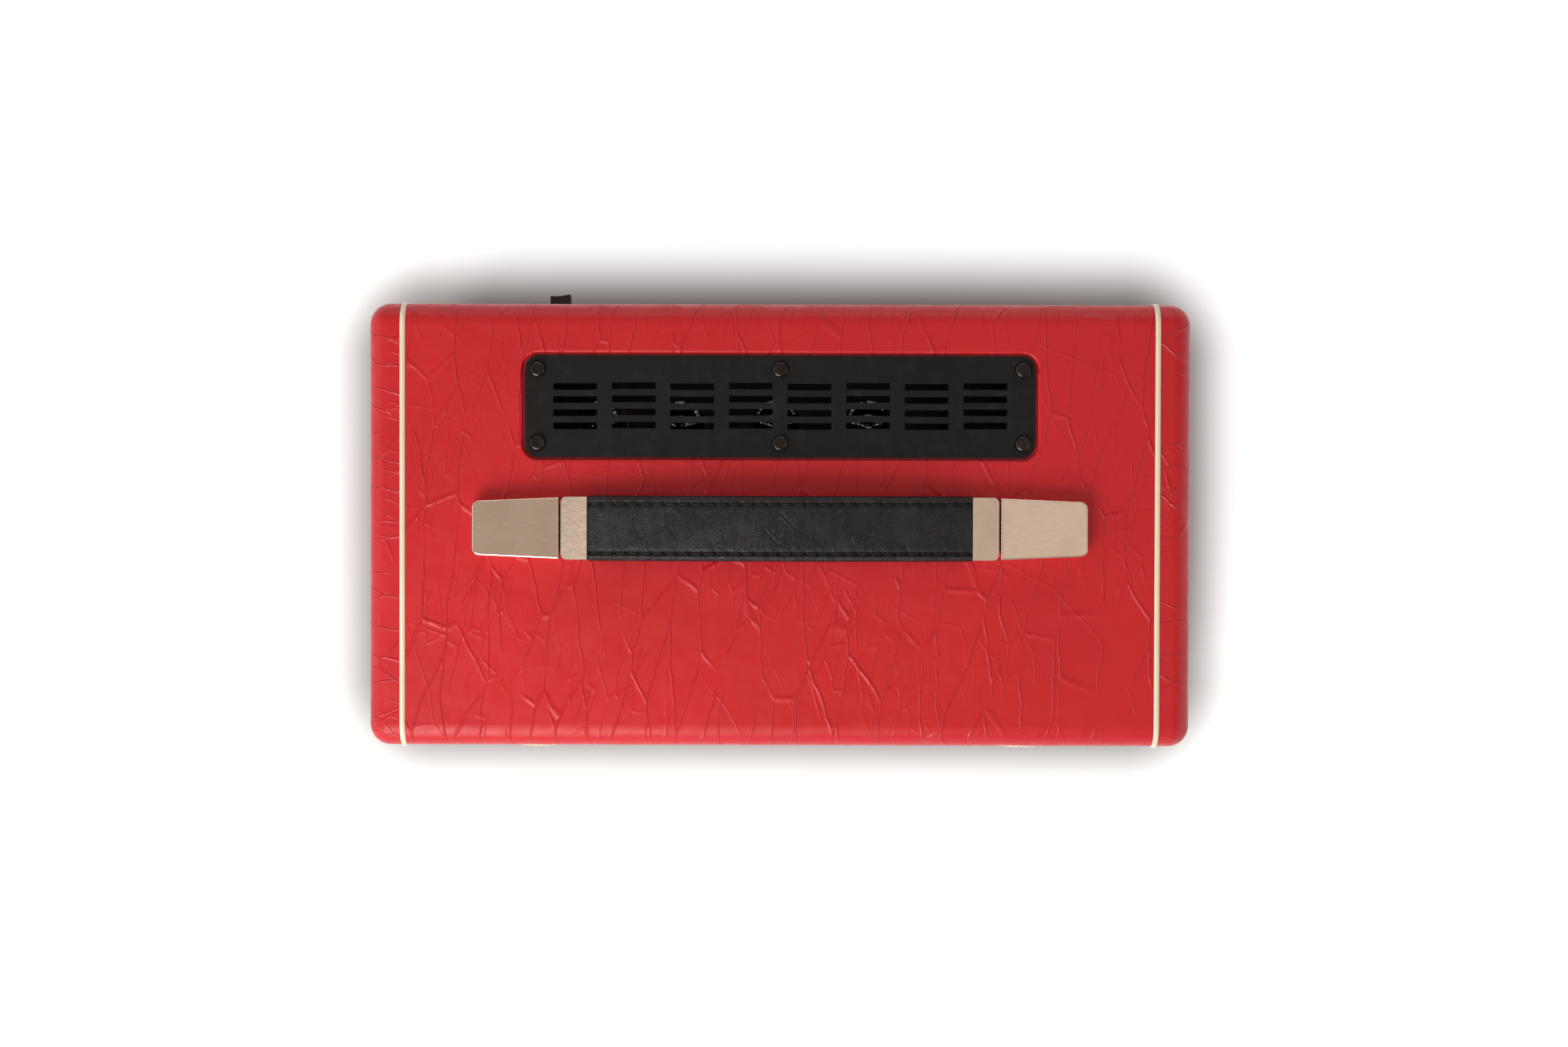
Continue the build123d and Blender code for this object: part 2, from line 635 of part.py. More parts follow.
# ---------------------------------------------------------------- loudspeaker
SPEAKER_Y = BAFFLE_BACK_Y
FLANGE_T = 1.5
with BuildPart() as speaker_frame:
    oval(SPEAKER_RX, SPEAKER_RZ, SPEAKER_Z, (SPEAKER_Y + FLANGE_T, SPEAKER_Y))
    with BuildSketch(facing(SPEAKER_Y + FLANGE_T)):
        with Locations((0, SPEAKER_Z)):
            Ellipse(63, 41)
    with BuildSketch(facing(BASKET_Y)):
        with Locations((0, SPEAKER_Z)):
            Ellipse(MAGNET_R, MAGNET_R - 0.01)
    loft()
    with BuildSketch(facing(SPEAKER_Y)):
        with Locations((0, SPEAKER_Z)):
            Ellipse(61.5, 39.5)
    with BuildSketch(facing(BASKET_Y - 1.5)):
        with Locations((0, SPEAKER_Z)):
            Ellipse(MAGNET_R - 1.5, MAGNET_R - 1.51)
    loft(mode=Mode.SUBTRACT)
    rod(0, SPEAKER_Z, 12.0, (BASKET_Y + 1, BASKET_Y - 3), mode=Mode.SUBTRACT)
    for turn in (0, 180):  # windows that let the cone's back wave out
        with BuildSketch(facing(BASKET_Y - 3)):
            with Locations(Location((0, SPEAKER_Z), turn)):
                with Locations((42, 0)):
                    Rectangle(40, 26)
        extrude(amount=20, mode=Mode.SUBTRACT)
    for x, z in SPEAKER_SCREWS:
        rod(x, z, SCREW_R + 0.2, (SPEAKER_Y + 4, SPEAKER_Y), mode=Mode.SUBTRACT)
        rod(x, z, 3.4, (SPEAKER_Y + 8, SPEAKER_Y + FLANGE_T), mode=Mode.SUBTRACT)
keep(speaker_frame, "speaker_frame")

with BuildPart() as speaker_magnet:
    rod(0, SPEAKER_Z, MAGNET_R, (BASKET_Y + 12, BASKET_Y))
    rod(0, SPEAKER_Z, 15.0, (BASKET_Y + 12, BASKET_Y), mode=Mode.SUBTRACT)
    rod(0, SPEAKER_Z, MAGNET_R - 2, (BASKET_Y + 15, BASKET_Y + 12.05))  # the yoke and its pole
    rod(0, SPEAKER_Z, 9.6, (BASKET_Y + 13, BASKET_Y - 2))
keep(speaker_magnet, "speaker_magnet")

CONE_FRONT_Y = -79.0
CONE_BACK_Y = -58.0
CAP_FRONT_Y = -63.0  # the front of the dust cap
COIL_R = 11.2
PAPER_T = 0.8
with BuildPart() as speaker_cone:  # the paper cone, and the voice coil's tube with its dust cap
    for grown, mode in ((0.0, Mode.ADD), (-PAPER_T, Mode.SUBTRACT)):
        with BuildSketch(facing(CONE_FRONT_Y)):
            with Locations((0, SPEAKER_Z)):
                Ellipse(CONE_RX + grown, CONE_RZ + grown)
        with BuildSketch(facing(CONE_BACK_Y)):
            with Locations((0, SPEAKER_Z)):
                Circle(COIL_R + 1.0 + grown)
        loft(mode=mode)
    rod(0, SPEAKER_Z, COIL_R, (BASKET_Y + 5, CAP_FRONT_Y))
    fillet(speaker_cone.edges().filter_by_position(Axis.Y, CAP_FRONT_Y - 0.01, CAP_FRONT_Y + 0.01), 3.0)
    rod(0, SPEAKER_Z, COIL_R - 1, (BASKET_Y + 5, CAP_FRONT_Y + 3.5), mode=Mode.SUBTRACT)
keep(speaker_cone, "speaker_cone")

# ---------------------------------------------------------------- control panel and dial
PANEL_Z = (PANEL_LOW_Z + PANEL_TOP_Z) / 2
PANEL_H = PANEL_TOP_Z - PANEL_LOW_Z
with BuildPart() as control_panel:
    plate(2 * PANEL_HALF_W, PANEL_H, 0, PANEL_Z, (PANEL_BACK_Y, PANEL_Y), radius=2)
    fillet(control_panel.faces().sort_by(Axis.Y)[0].edges(), 0.5)
    plate(DIAL_W, DIAL_H, 0, DIAL_Z, (PANEL_BACK_Y, PANEL_Y), radius=3, mode=Mode.SUBTRACT)
    for x, z, _ in CONTROLS.values():
        rod(x, z, BUSH_R + FIT, (PANEL_BACK_Y, PANEL_Y), mode=Mode.SUBTRACT)
    for x, z in PANEL_SCREWS:
        rod(x, z, SCREW_R + 0.2, (PANEL_BACK_Y, PANEL_Y), mode=Mode.SUBTRACT)
keep(control_panel, "control_panel")

BEZEL_T = 2.0
with BuildPart() as dial_bezel:
    plate(DIAL_W + 8, DIAL_H + 8, 0, DIAL_Z, (PANEL_Y, PANEL_Y - BEZEL_T), radius=5)
    fillet(dial_bezel.faces().sort_by(Axis.Y)[0].edges(), 1.2)
    plate(DIAL_W, DIAL_H, 0, DIAL_Z, (PANEL_Y, PANEL_Y - BEZEL_T), radius=3, mode=Mode.SUBTRACT)
    chamfer(dial_bezel.faces().sort_by(Axis.Y)[0].inner_wires()[0].edges(), 0.6)
keep(dial_bezel, "dial_bezel")

GLASS_BACK_Y = PANEL_BACK_Y + 1.6
with BuildPart() as dial_glass:
    plate(DIAL_W + 4, DIAL_H + 4, 0, DIAL_Z, (GLASS_BACK_Y, PANEL_BACK_Y))
keep(dial_glass, "dial_glass")

# The scale is a painted steel plate with folded ends, and it carries the cord's two pulleys
SCALE_Y = -79.0
SCALE_BACK_Y = SCALE_Y + SHEET
SCALE_HALF_W = 79.0
SCALE_TOP_Z = 211.0
with BuildPart() as dial_scale:
    slab((-SCALE_HALF_W, SCALE_HALF_W), (SCALE_BACK_Y, SCALE_Y), (DIAL_Z - 18, SCALE_TOP_Z))
    for side in (-1, 1):
        slab(
            (side * (SCALE_HALF_W - SHEET), side * SCALE_HALF_W),
            (SCALE_BACK_Y, PANEL_BACK_Y),
            (DIAL_Z - 18, SCALE_TOP_Z),
        )
        rod(side * PULLEY_X, PULLEY_Z, PIVOT_R, (CORD_Y + 2.6, SCALE_BACK_Y))
keep(dial_scale, "dial_scale")

cord_path = [
    (DRUM_X, DRUM_Z, DRUM_R),
    (CONTROLS["tuning"][0], CONTROLS["tuning"][1], SPINDLE_R),
    (PULLEY_X, PULLEY_Z, PULLEY_R),
    (-PULLEY_X, PULLEY_Z, PULLEY_R),
]
with BuildPart() as drive_cord:
    for grown, mode in ((CORD_T, Mode.ADD), (0.0, Mode.SUBTRACT)):
        with BuildSketch(facing(CORD_Y + CORD_T / 2)):
            for x, z, radius in cord_path:
                with Locations((x, z)):
                    Circle(radius + CORD_GAP + grown)
            make_hull()
        extrude(amount=CORD_T, mode=mode)
keep(drive_cord, "drive_cord")

for side, word in ((-1, "left"), (1, "right")):
    with BuildPart() as pulley:
        rod(side * PULLEY_X, PULLEY_Z, PULLEY_R + 1.2, (CORD_Y + 1.8, CORD_Y - 1.8))
        rod(side * PULLEY_X, PULLEY_Z, PULLEY_R + 2, (CORD_Y + 0.6, CORD_Y - 0.6), mode=Mode.SUBTRACT)
        rod(side * PULLEY_X, PULLEY_Z, PULLEY_R, (CORD_Y + 0.6, CORD_Y - 0.6))
        rod(side * PULLEY_X, PULLEY_Z, PIVOT_R + FIT, (CORD_Y + 1.8, CORD_Y - 1.8), mode=Mode.SUBTRACT)
    keep(pulley, f"{word}_cord_pulley")

CORD_TOP_Z = PULLEY_Z + PULLEY_R + CORD_GAP
NEEDLE_YS = (SCALE_Y - 3.0, SCALE_Y - 2.2)
RIDER_Z = SCALE_TOP_Z + 0.2
with BuildPart() as dial_pointer:
    slab((-0.6, 0.6), NEEDLE_YS, (DIAL_Z - DIAL_H / 2, RIDER_Z))
    slab((-2.5, 2.5), (NEEDLE_YS[0], CORD_Y + 1.5), (RIDER_Z, RIDER_Z + 1.0))
    slab((-2.5, 2.5), (SCALE_BACK_Y + 0.2, SCALE_BACK_Y + 1.2), (RIDER_Z - 5, RIDER_Z))
    slab((-2.5, 2.5), (CORD_Y - 1.5, CORD_Y + 1.5), (RIDER_Z + 1.0, CORD_TOP_Z + 2.2))
    slab(
        (-2.5, 2.5),
        (CORD_Y - CORD_T / 2 - 0.15, CORD_Y + CORD_T / 2 + 0.15),
        (CORD_TOP_Z - 0.2, CORD_TOP_Z + CORD_T + 0.2),
        mode=Mode.SUBTRACT,
    )
keep(dial_pointer, "dial_pointer")

# ---------------------------------------------------------------- controls
SHAFT_FRONT_Y = KNOB_FRONT_Y + 2.5
SHAFT_FIT = 0.06
NUT_T = 2.2
SKIRT_T = 3.5
for name, (x, z, knob_r) in CONTROLS.items():
    with BuildPart() as knob:
        rod(x, z, knob_r, (KNOB_BACK_Y, KNOB_BACK_Y - SKIRT_T))
        fillet(knob.faces().sort_by(Axis.Y)[0].edges(), 1.0)
        rod(x, z, knob_r - 2.2, (KNOB_BACK_Y - SKIRT_T, KNOB_FRONT_Y + 0.1))
        fillet(knob.faces().sort_by(Axis.Y)[0].edges(), 0.8)
        with BuildSketch(facing(KNOB_BACK_Y - SKIRT_T - 0.7)):
            with Locations((x, z)):
                with PolarLocations(knob_r - 1.7, 24):
                    Circle(0.95)
        extrude(amount=12, mode=Mode.SUBTRACT)
        rod(x, z, knob_r - 4.8, (KNOB_FRONT_Y + 0.8, KNOB_FRONT_Y), mode=Mode.SUBTRACT)
        rod(x, z, 8.4, (KNOB_BACK_Y, KNOB_BACK_Y - NUT_T - 0.4), mode=Mode.SUBTRACT)
        rod(x, z, SHAFT_R + 0.02, (KNOB_BACK_Y, SHAFT_FRONT_Y - 0.2), mode=Mode.SUBTRACT)
        rod(x, z, knob_r - 4.9, (KNOB_FRONT_Y + 0.8, KNOB_FRONT_Y))  # the bright disc let into its face
        slab((x - 0.5, x + 0.5), (KNOB_FRONT_Y, KNOB_FRONT_Y + 0.4), (z + 1.5, z + knob_r - 5.6), mode=Mode.SUBTRACT)
    keep(knob, f"{name}_knob")

with BuildPart() as volume_shaft:
    rod(*CONTROLS["volume"][:2], SHAFT_R, (POT_BACK_Y - 1, SHAFT_FRONT_Y))
keep(volume_shaft, "volume_shaft")

with BuildPart() as band_shaft:
    rod(*CONTROLS["band"][:2], SHAFT_R, (SWITCH_BACK_Y - 1, SHAFT_FRONT_Y))
keep(band_shaft, "band_shaft")

with BuildPart() as tuning_spindle:
    rod(*CONTROLS["tuning"][:2], SHAFT_R, (PANEL_BACK_Y + 8, SHAFT_FRONT_Y))
    rod(*CONTROLS["tuning"][:2], SPINDLE_R, (CORD_Y + 3, PANEL_BACK_Y + 8))
keep(tuning_spindle, "tuning_spindle")

# The volume potentiometer, the band switch and the tuning spindle's bush, with a nut in front of each
with BuildPart() as control_bodies:
    for (x, z, _), can_r, can_back_y in zip(
        CONTROLS.values(), (10.0, 11.0, 7.5), (POT_BACK_Y, SWITCH_BACK_Y, PANEL_BACK_Y + 4)
    ):
        rod(x, z, can_r, (can_back_y, PANEL_BACK_Y))
        rod(x, z, BUSH_R, (PANEL_BACK_Y, PANEL_Y - NUT_T - 0.3))
        rod(x, z, SHAFT_R + SHAFT_FIT, (can_back_y, PANEL_Y - NUT_T - 0.3), mode=Mode.SUBTRACT)
    with BuildSketch(facing(PANEL_Y)):
        for x, z, _ in CONTROLS.values():
            with Locations((x, z)):
                RegularPolygon(7.0, 6)
                Circle(BUSH_R + FIT, mode=Mode.SUBTRACT)
    extrude(amount=NUT_T)
keep(control_bodies, "control_bodies")

# ---------------------------------------------------------------- tuning capacitor
GANG_W = 40.0
GANG_YS = (-16.0, 16.0)
GANG_TOP_Z = DECK_Z + 46.0
PLATE_T = 0.6
PLATE_PITCH = 3.2
ROTOR_YS = [GANG_YS[0] + 3.0 + PLATE_PITCH * i for i in range(8)]
BELOW = (GANG_SHAFT_Z - 30, GANG_SHAFT_Z + 1)
with BuildPart() as gang_stator:
    for y in ROTOR_YS[:-1]:
        stator_y = y + PLATE_PITCH / 2
        rod(DRUM_X, GANG_SHAFT_Z, 17.0, (stator_y + PLATE_T, stator_y))
    rod(DRUM_X, GANG_SHAFT_Z, 6.0, GANG_YS, mode=Mode.SUBTRACT)
    slab((DRUM_X - 20, DRUM_X + 20), GANG_YS, BELOW, mode=Mode.SUBTRACT)
    insulated = (GANG_YS[0] + 1.5 + FIT, GANG_YS[1] - 1.5 - FIT)
    slab((DRUM_X - 6, DRUM_X + 6), insulated, (GANG_SHAFT_Z + 15.6, GANG_SHAFT_Z + 18))

with BuildPart() as gang_frame:
    slab((DRUM_X - GANG_W / 2, DRUM_X + GANG_W / 2), GANG_YS, (DECK_Z, GANG_TOP_Z))
    slab(
        (DRUM_X - GANG_W / 2, DRUM_X + GANG_W / 2),
        (GANG_YS[0] + 1.5, GANG_YS[1] - 1.5),
        (DECK_Z + 1.5, GANG_TOP_Z),
        mode=Mode.SUBTRACT,
    )
    rod(DRUM_X, GANG_SHAFT_Z, SHAFT_R + SHAFT_FIT, (GANG_YS[1], GANG_YS[0]), mode=Mode.SUBTRACT)
    add(gang_stator.part)
keep(gang_frame, "gang_frame")

with BuildPart() as gang_rotor:
    for y in ROTOR_YS:
        rod(DRUM_X, GANG_SHAFT_Z, 15.0, (y + PLATE_T, y))
    slab((DRUM_X, DRUM_X + 20), GANG_YS, (GANG_SHAFT_Z - 20, GANG_SHAFT_Z + 20), mode=Mode.SUBTRACT)
    rod(DRUM_X, GANG_SHAFT_Z, SHAFT_R, (GANG_YS[1] + 1.0, CORD_Y + 3))
keep(gang_rotor, "gang_rotor")

with BuildPart() as drive_drum:
    rod(DRUM_X, DRUM_Z, DRUM_R + 1.5, (CORD_Y + 2, CORD_Y - 2))
    with BuildSketch(facing(CORD_Y + 0.7)):
        with Locations((DRUM_X, DRUM_Z)):
            Circle(DRUM_R + 3)
            Circle(DRUM_R, mode=Mode.SUBTRACT)
    extrude(amount=1.4, mode=Mode.SUBTRACT)
    with BuildSketch(facing(CORD_Y + 2)):
        with Locations((DRUM_X, DRUM_Z)):
            with PolarLocations(21, 5):
                Circle(8)
    extrude(amount=4, mode=Mode.SUBTRACT)
    rod(DRUM_X, DRUM_Z, 6.0, (CORD_Y + 9, CORD_Y))
    rod(DRUM_X, DRUM_Z, SHAFT_R + 0.02, (CORD_Y + 9, CORD_Y + 2.8), mode=Mode.SUBTRACT)
keep(drive_drum, "drive_drum")

# ---------------------------------------------------------------- chassis
CHASSIS_LOW_Z = DECK_Z - CHASSIS_DEEP
SOCKET_HOLE_R = 10.0
with BuildPart() as chassis:
    slab((-JOINT_X, JOINT_X), (CHASSIS_FRONT_Y, CHASSIS_BACK_Y), (CHASSIS_LOW_Z, DECK_Z))
    slab(
        (-JOINT_X + SHEET, JOINT_X - SHEET),
        (CHASSIS_FRONT_Y + SHEET, CHASSIS_BACK_Y - SHEET),
        (CHASSIS_LOW_Z, DECK_Z - SHEET),
        mode=Mode.SUBTRACT,
    )
    for x, y, _ in VALVES:
        post(x, y, SOCKET_HOLE_R + FIT, (DECK_Z - SHEET, DECK_Z), mode=Mode.SUBTRACT)
    for side, y in CHASSIS_SCREWS:
        with BuildSketch(Plane.YZ.offset(side * (JOINT_X - SHEET))):
            with Locations((y, CHASSIS_SCREW_Z)):
                Circle(SCREW_R + 0.2)
        extrude(amount=side * SHEET, mode=Mode.SUBTRACT)
keep(chassis, "chassis")

SOCKET_TOP_Z = DECK_Z + 4.0
PIN_CIRCLE_R = 5.95
PIN_R = 0.5
with BuildPart() as valve_sockets:
    for x, y, _ in VALVES:
        post(x, y, SOCKET_HOLE_R, (DECK_Z - 6, DECK_Z))
        post(x, y, SOCKET_HOLE_R + 1.6, (DECK_Z, SOCKET_TOP_Z))
        with BuildSketch(Plane.XY.offset(SOCKET_TOP_Z)):
            with Locations((x, y)):
                with PolarLocations(PIN_CIRCLE_R, 9, start_angle=36, angular_range=288, endpoint=True):
                    Circle(PIN_R + 0.15)
        extrude(amount=-8, mode=Mode.SUBTRACT)
keep(valve_sockets, "valve_sockets")

GLASS_T = 0.9
GLASS_LOW_Z = SOCKET_TOP_Z + 0.3
SEAL_R = 2.4
with BuildPart() as valve_glasses:
    for x, y, height in VALVES:
        shoulder = GLASS_LOW_Z + height - 10
        for inset, mode in ((0.0, Mode.ADD), (GLASS_T, Mode.SUBTRACT)):
            radius = VALVE_R - inset
            with BuildSketch(facing(y)):
                with BuildLine():
                    Polyline((x, GLASS_LOW_Z), (x + radius, GLASS_LOW_Z), (x + radius, shoulder))
                    TangentArc((x + radius, shoulder), (x + SEAL_R, shoulder + radius - SEAL_R), tangent=(0, 1))
                    top = (x, shoulder + radius - SEAL_R)
                    Polyline((x + SEAL_R, shoulder + radius - SEAL_R), top, (x, GLASS_LOW_Z))
                make_face()
            revolve(axis=Axis((x, y, 0), (0, 0, 1)), mode=mode)
        crown = shoulder + VALVE_R - SEAL_R
        post(x, y, SEAL_R - 1, (crown - GLASS_T / 2, crown + 1.6))  # the seal where it was pumped out
keep(valve_glasses, "valve_glasses")

with BuildPart() as valve_electrodes:
    for x, y, height in VALVES:
        anode_zs = (GLASS_LOW_Z + 8, GLASS_LOW_Z + height - 14)
        post(x, y, VALVE_R - GLASS_T - 0.1, (GLASS_LOW_Z, GLASS_LOW_Z + 2))
        for level in anode_zs:
            post(x, y, VALVE_R - GLASS_T - 0.6, (level, level + 0.6))
        with BuildSketch(Plane.XY.offset(anode_zs[0])):
            with Locations((x, y)):
                RectangleRounded(13, 8, 3)
        extrude(amount=anode_zs[1] - anode_zs[0])
        for offset in (-4, 4):
            post(x + offset, y, 0.5, (GLASS_LOW_Z + 1, anode_zs[1] + 3.4))
        post(x, y, 4.8, (anode_zs[1] + 3.0, anode_zs[1] + 3.6))  # the getter's carrier
        with BuildSketch(Plane.XY.offset(GLASS_LOW_Z)):
            with Locations((x, y)):
                with PolarLocations(PIN_CIRCLE_R, 9, start_angle=36, angular_range=288, endpoint=True):
                    Circle(PIN_R)
        extrude(amount=-6.5)
keep(valve_electrodes, "valve_electrodes")

WINDING_GAP = 0.3
with BuildPart() as transformer_cores:
    for x, y, width, stack, height in TRANSFORMERS:
        slab((x - width / 2, x + width / 2), (y - stack / 2, y + stack / 2), (DECK_Z, DECK_Z + height))
        for side in (-1, 1):  # windows a sixth of the width, on both sides of the middle limb
            slab(
                (x + side * width / 6, x + side * width / 3),
                (y - stack / 2, y + stack / 2),
                (DECK_Z + width / 6, DECK_Z + height - width / 6),
                mode=Mode.SUBTRACT,
            )
keep(transformer_cores, "transformer_cores")

with BuildPart() as transformer_windings:
    for x, y, width, stack, height in TRANSFORMERS:
        reach = width / 3 - WINDING_GAP
        zs = (DECK_Z + width / 6 + WINDING_GAP, DECK_Z + height - width / 6 - WINDING_GAP)
        slab((x - reach, x + reach), (y - stack / 2 - width / 6, y + stack / 2 + width / 6), zs)
        corners = transformer_windings.edges(Select.LAST).filter_by(Axis.Z)
        fillet(corners, 3)
        slab(
            (x - width / 6 - WINDING_GAP, x + width / 6 + WINDING_GAP),
            (y - stack / 2 - WINDING_GAP, y + stack / 2 + WINDING_GAP),
            zs,
            mode=Mode.SUBTRACT,
        )
keep(transformer_windings, "transformer_windings")

with BuildPart() as chassis_cans:  # two intermediate-frequency transformers and the smoothing capacitor
    for x in (-103, -58):
        slab((x - 11, x + 11), (-2, 20), (DECK_Z, DECK_Z + 46))
    fillet(chassis_cans.edges().filter_by(Axis.Z), 3)
    post(-24, 6, 12.5, (DECK_Z, DECK_Z + 48))
    fillet(chassis_cans.faces().sort_by(Axis.Z)[-1].edges(), 1.5)
keep(chassis_cans, "chassis_cans")

TAG_Z = CHASSIS_LOW_Z + 10
TAG_T = 1.6
with BuildPart() as tag_board:
    slab((-110, 60), (0, 62), (TAG_Z, TAG_Z + TAG_T))
    for x in (-106, 56):
        for y in (4, 58):
            post(x, y, 2.5, (TAG_Z + TAG_T, DECK_Z - SHEET))
    for i in range(9):  # resistors and capacitors in two rows
        x = -94 + 17 * i
        part_r = 2.0 if i % 3 else 3.5
        for y in (8, 38):
            with BuildSketch(facing(y + 16)):
                with Locations((x, TAG_Z - part_r - FIT)):
                    Circle(part_r)
            extrude(amount=16)
keep(tag_board, "tag_board")

ROD_R = 4.9
with BuildPart() as ferrite_aerial:
    with BuildSketch(Plane.YZ.offset(-85)):
        with Locations((ROD_Y, ROD_Z)):
            Circle(ROD_R)
    extrude(amount=170)
    for x in (-65, 23):  # its two coils
        with BuildSketch(Plane.YZ.offset(x)):
            with Locations((ROD_Y, ROD_Z)):
                Circle(ROD_R + 2)
                Circle(ROD_R + FIT, mode=Mode.SUBTRACT)
        extrude(amount=34)
keep(ferrite_aerial, "ferrite_aerial")

# ---------------------------------------------------------------- back panel
INLET_W, INLET_H = 27.0, 20.0
ROCKER_BODY_W, ROCKER_BODY_H = 14.6, 9.6
with BuildPart() as back_panel:
    plate(
        2 * BACK_HALF_W - 1.6,
        BACK_TOP_Z - BACK_LOW_Z - 1.6,
        0,
        (BACK_TOP_Z + BACK_LOW_Z) / 2,
        (BACK_FACE_Y, BACK_PANEL_Y),
        radius=2.5,
    )
    with BuildSketch(facing(BACK_FACE_Y)):
        with Locations((0, 136)):
            with GridLocations(34, 9, 6, 10):
                SlotOverall(26, 3.4)
        with Locations((INLET_X, INLET_Z)):
            Rectangle(INLET_W + 0.2, INLET_H + 0.2)
        with Locations((ROCKER_X, ROCKER_Z)):
            Rectangle(ROCKER_BODY_W + 0.2, ROCKER_BODY_H + 0.2)
        with Locations(*[(x, SOCKET_Z) for x in AERIAL_XS]):
            Circle(AERIAL_BODY_R + 0.1)
        with Locations(*BACK_SCREWS):
            Circle(SCREW_R + 0.2)
    extrude(amount=BACK_PANEL_T, mode=Mode.SUBTRACT)
keep(back_panel, "back_panel")

INLET_FACE_Y = BACK_FACE_Y + 1.8
INLET_FLOOR_Y = INLET_FACE_Y - 15.0
PINS = [(INLET_X - 7, INLET_Z + 2), (INLET_X + 7, INLET_Z + 2), (INLET_X, INLET_Z - 2)]
with BuildPart() as mains_inlet:
    plate(INLET_W + 4, INLET_H + 4, INLET_X, INLET_Z, (INLET_FACE_Y, BACK_FACE_Y), radius=2.5)
    plate(INLET_W, INLET_H, INLET_X, INLET_Z, (BACK_FACE_Y, INLET_FLOOR_Y - 3))
    with BuildSketch(facing(INLET_FACE_Y)):
        with Locations((INLET_X, INLET_Z)):
            Polygon((-12.2, 8.2), (12.2, 8.2), (12.2, -3.2), (7.2, -8.2), (-7.2, -8.2), (-12.2, -3.2), align=None)
    extrude(amount=INLET_FACE_Y - INLET_FLOOR_Y, mode=Mode.SUBTRACT)
    for x, z in PINS:  # each pin is a solid of its own in its hole through the floor
        plate(2.0 + 2 * FIT, 4.0 + 2 * FIT, x, z, (INLET_FLOOR_Y, INLET_FLOOR_Y - 3), mode=Mode.SUBTRACT)
        plate(2.0, 4.0, x, z, (INLET_FACE_Y - 3, INLET_FLOOR_Y - 9))
keep(mains_inlet, "mains_inlet")

AERIAL_FACE_Y = BACK_FACE_Y + 1.5
with BuildPart() as aerial_sockets:
    for x in AERIAL_XS:
        rod(x, SOCKET_Z, AERIAL_BODY_R + 2, (AERIAL_FACE_Y, BACK_FACE_Y))
        rod(x, SOCKET_Z, AERIAL_BODY_R, (BACK_FACE_Y, AERIAL_FACE_Y - AERIAL_BORE_L - 2))
        rod(x, SOCKET_Z, AERIAL_BORE_R, (AERIAL_FACE_Y, AERIAL_FACE_Y - AERIAL_BORE_L), mode=Mode.SUBTRACT)
keep(aerial_sockets, "aerial_sockets")

with BuildPart() as rocker_housing:
    plate(ROCKER_BODY_W + 2, ROCKER_BODY_H + 2, ROCKER_X, ROCKER_Z, (BACK_FACE_Y + 1.4, BACK_FACE_Y), radius=1)
    plate(ROCKER_BODY_W, ROCKER_BODY_H, ROCKER_X, ROCKER_Z, (BACK_FACE_Y, BACK_FACE_Y - 14))
    plate(12.8, 7.4, ROCKER_X, ROCKER_Z, (BACK_FACE_Y + 2, BACK_FACE_Y - 8), mode=Mode.SUBTRACT)
    for offset in (-4, 4):
        plate(0.8, 4.8, ROCKER_X + offset, ROCKER_Z, (BACK_FACE_Y - 14, BACK_FACE_Y - 20))
keep(rocker_housing, "rocker_housing")

with BuildPart() as rocker_paddle:
    with BuildSketch(Plane.XY.offset(ROCKER_Z - 3.4)):
        with Locations((ROCKER_X, ROCKER_Y)):
            Polygon((-4.75, -3), (-4.75, 5.9), (-0.6, 5.9), (4.3, 6.7), (4.8, -3), (0, -5.5), align=None)
    extrude(amount=6.8)
    fillet(rocker_paddle.edges().filter_by_position(Axis.Y, ROCKER_Y + 5.5, ROCKER_Y + 7), 0.4)
keep(rocker_paddle, "rocker_paddle")

# ---------------------------------------------------------------- the screws that hold the panels and the works
cabinet_screw = pan_screw(3.0, SCREW_R, SCREW_L)
screw_planes = [Plane(origin=(x, PANEL_Y, z), z_dir=(0, -1, 0)) for x, z in PANEL_SCREWS]
screw_planes += [Plane(origin=(x, SPEAKER_Y + FLANGE_T, z), z_dir=(0, 1, 0)) for x, z in SPEAKER_SCREWS]
screw_planes += [Plane(origin=(x, BACK_FACE_Y, z), z_dir=(0, 1, 0)) for x, z in BACK_SCREWS]
screw_planes += [
    Plane(origin=(side * (JOINT_X - SHEET), y, CHASSIS_SCREW_Z), z_dir=(-side, 0, 0)) for side, y in CHASSIS_SCREWS
]
with BuildPart() as cabinet_screws:
    with Locations(*screw_planes):
        add(cabinet_screw)
keep(cabinet_screws, "cabinet_screws")
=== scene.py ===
# %% [markdown]
# # A portable valve radio in red leathercloth, as a Blender scene
# The radio was drawn first as a CAD assembly, and this script dresses that assembly. What is left is what
# Blender is good at: finishes, soft pieces, printing, light and a camera.

# %% Load the assembly and keep its outer box
import math

import bpy
import numpy as np
from mathutils import Matrix, Vector


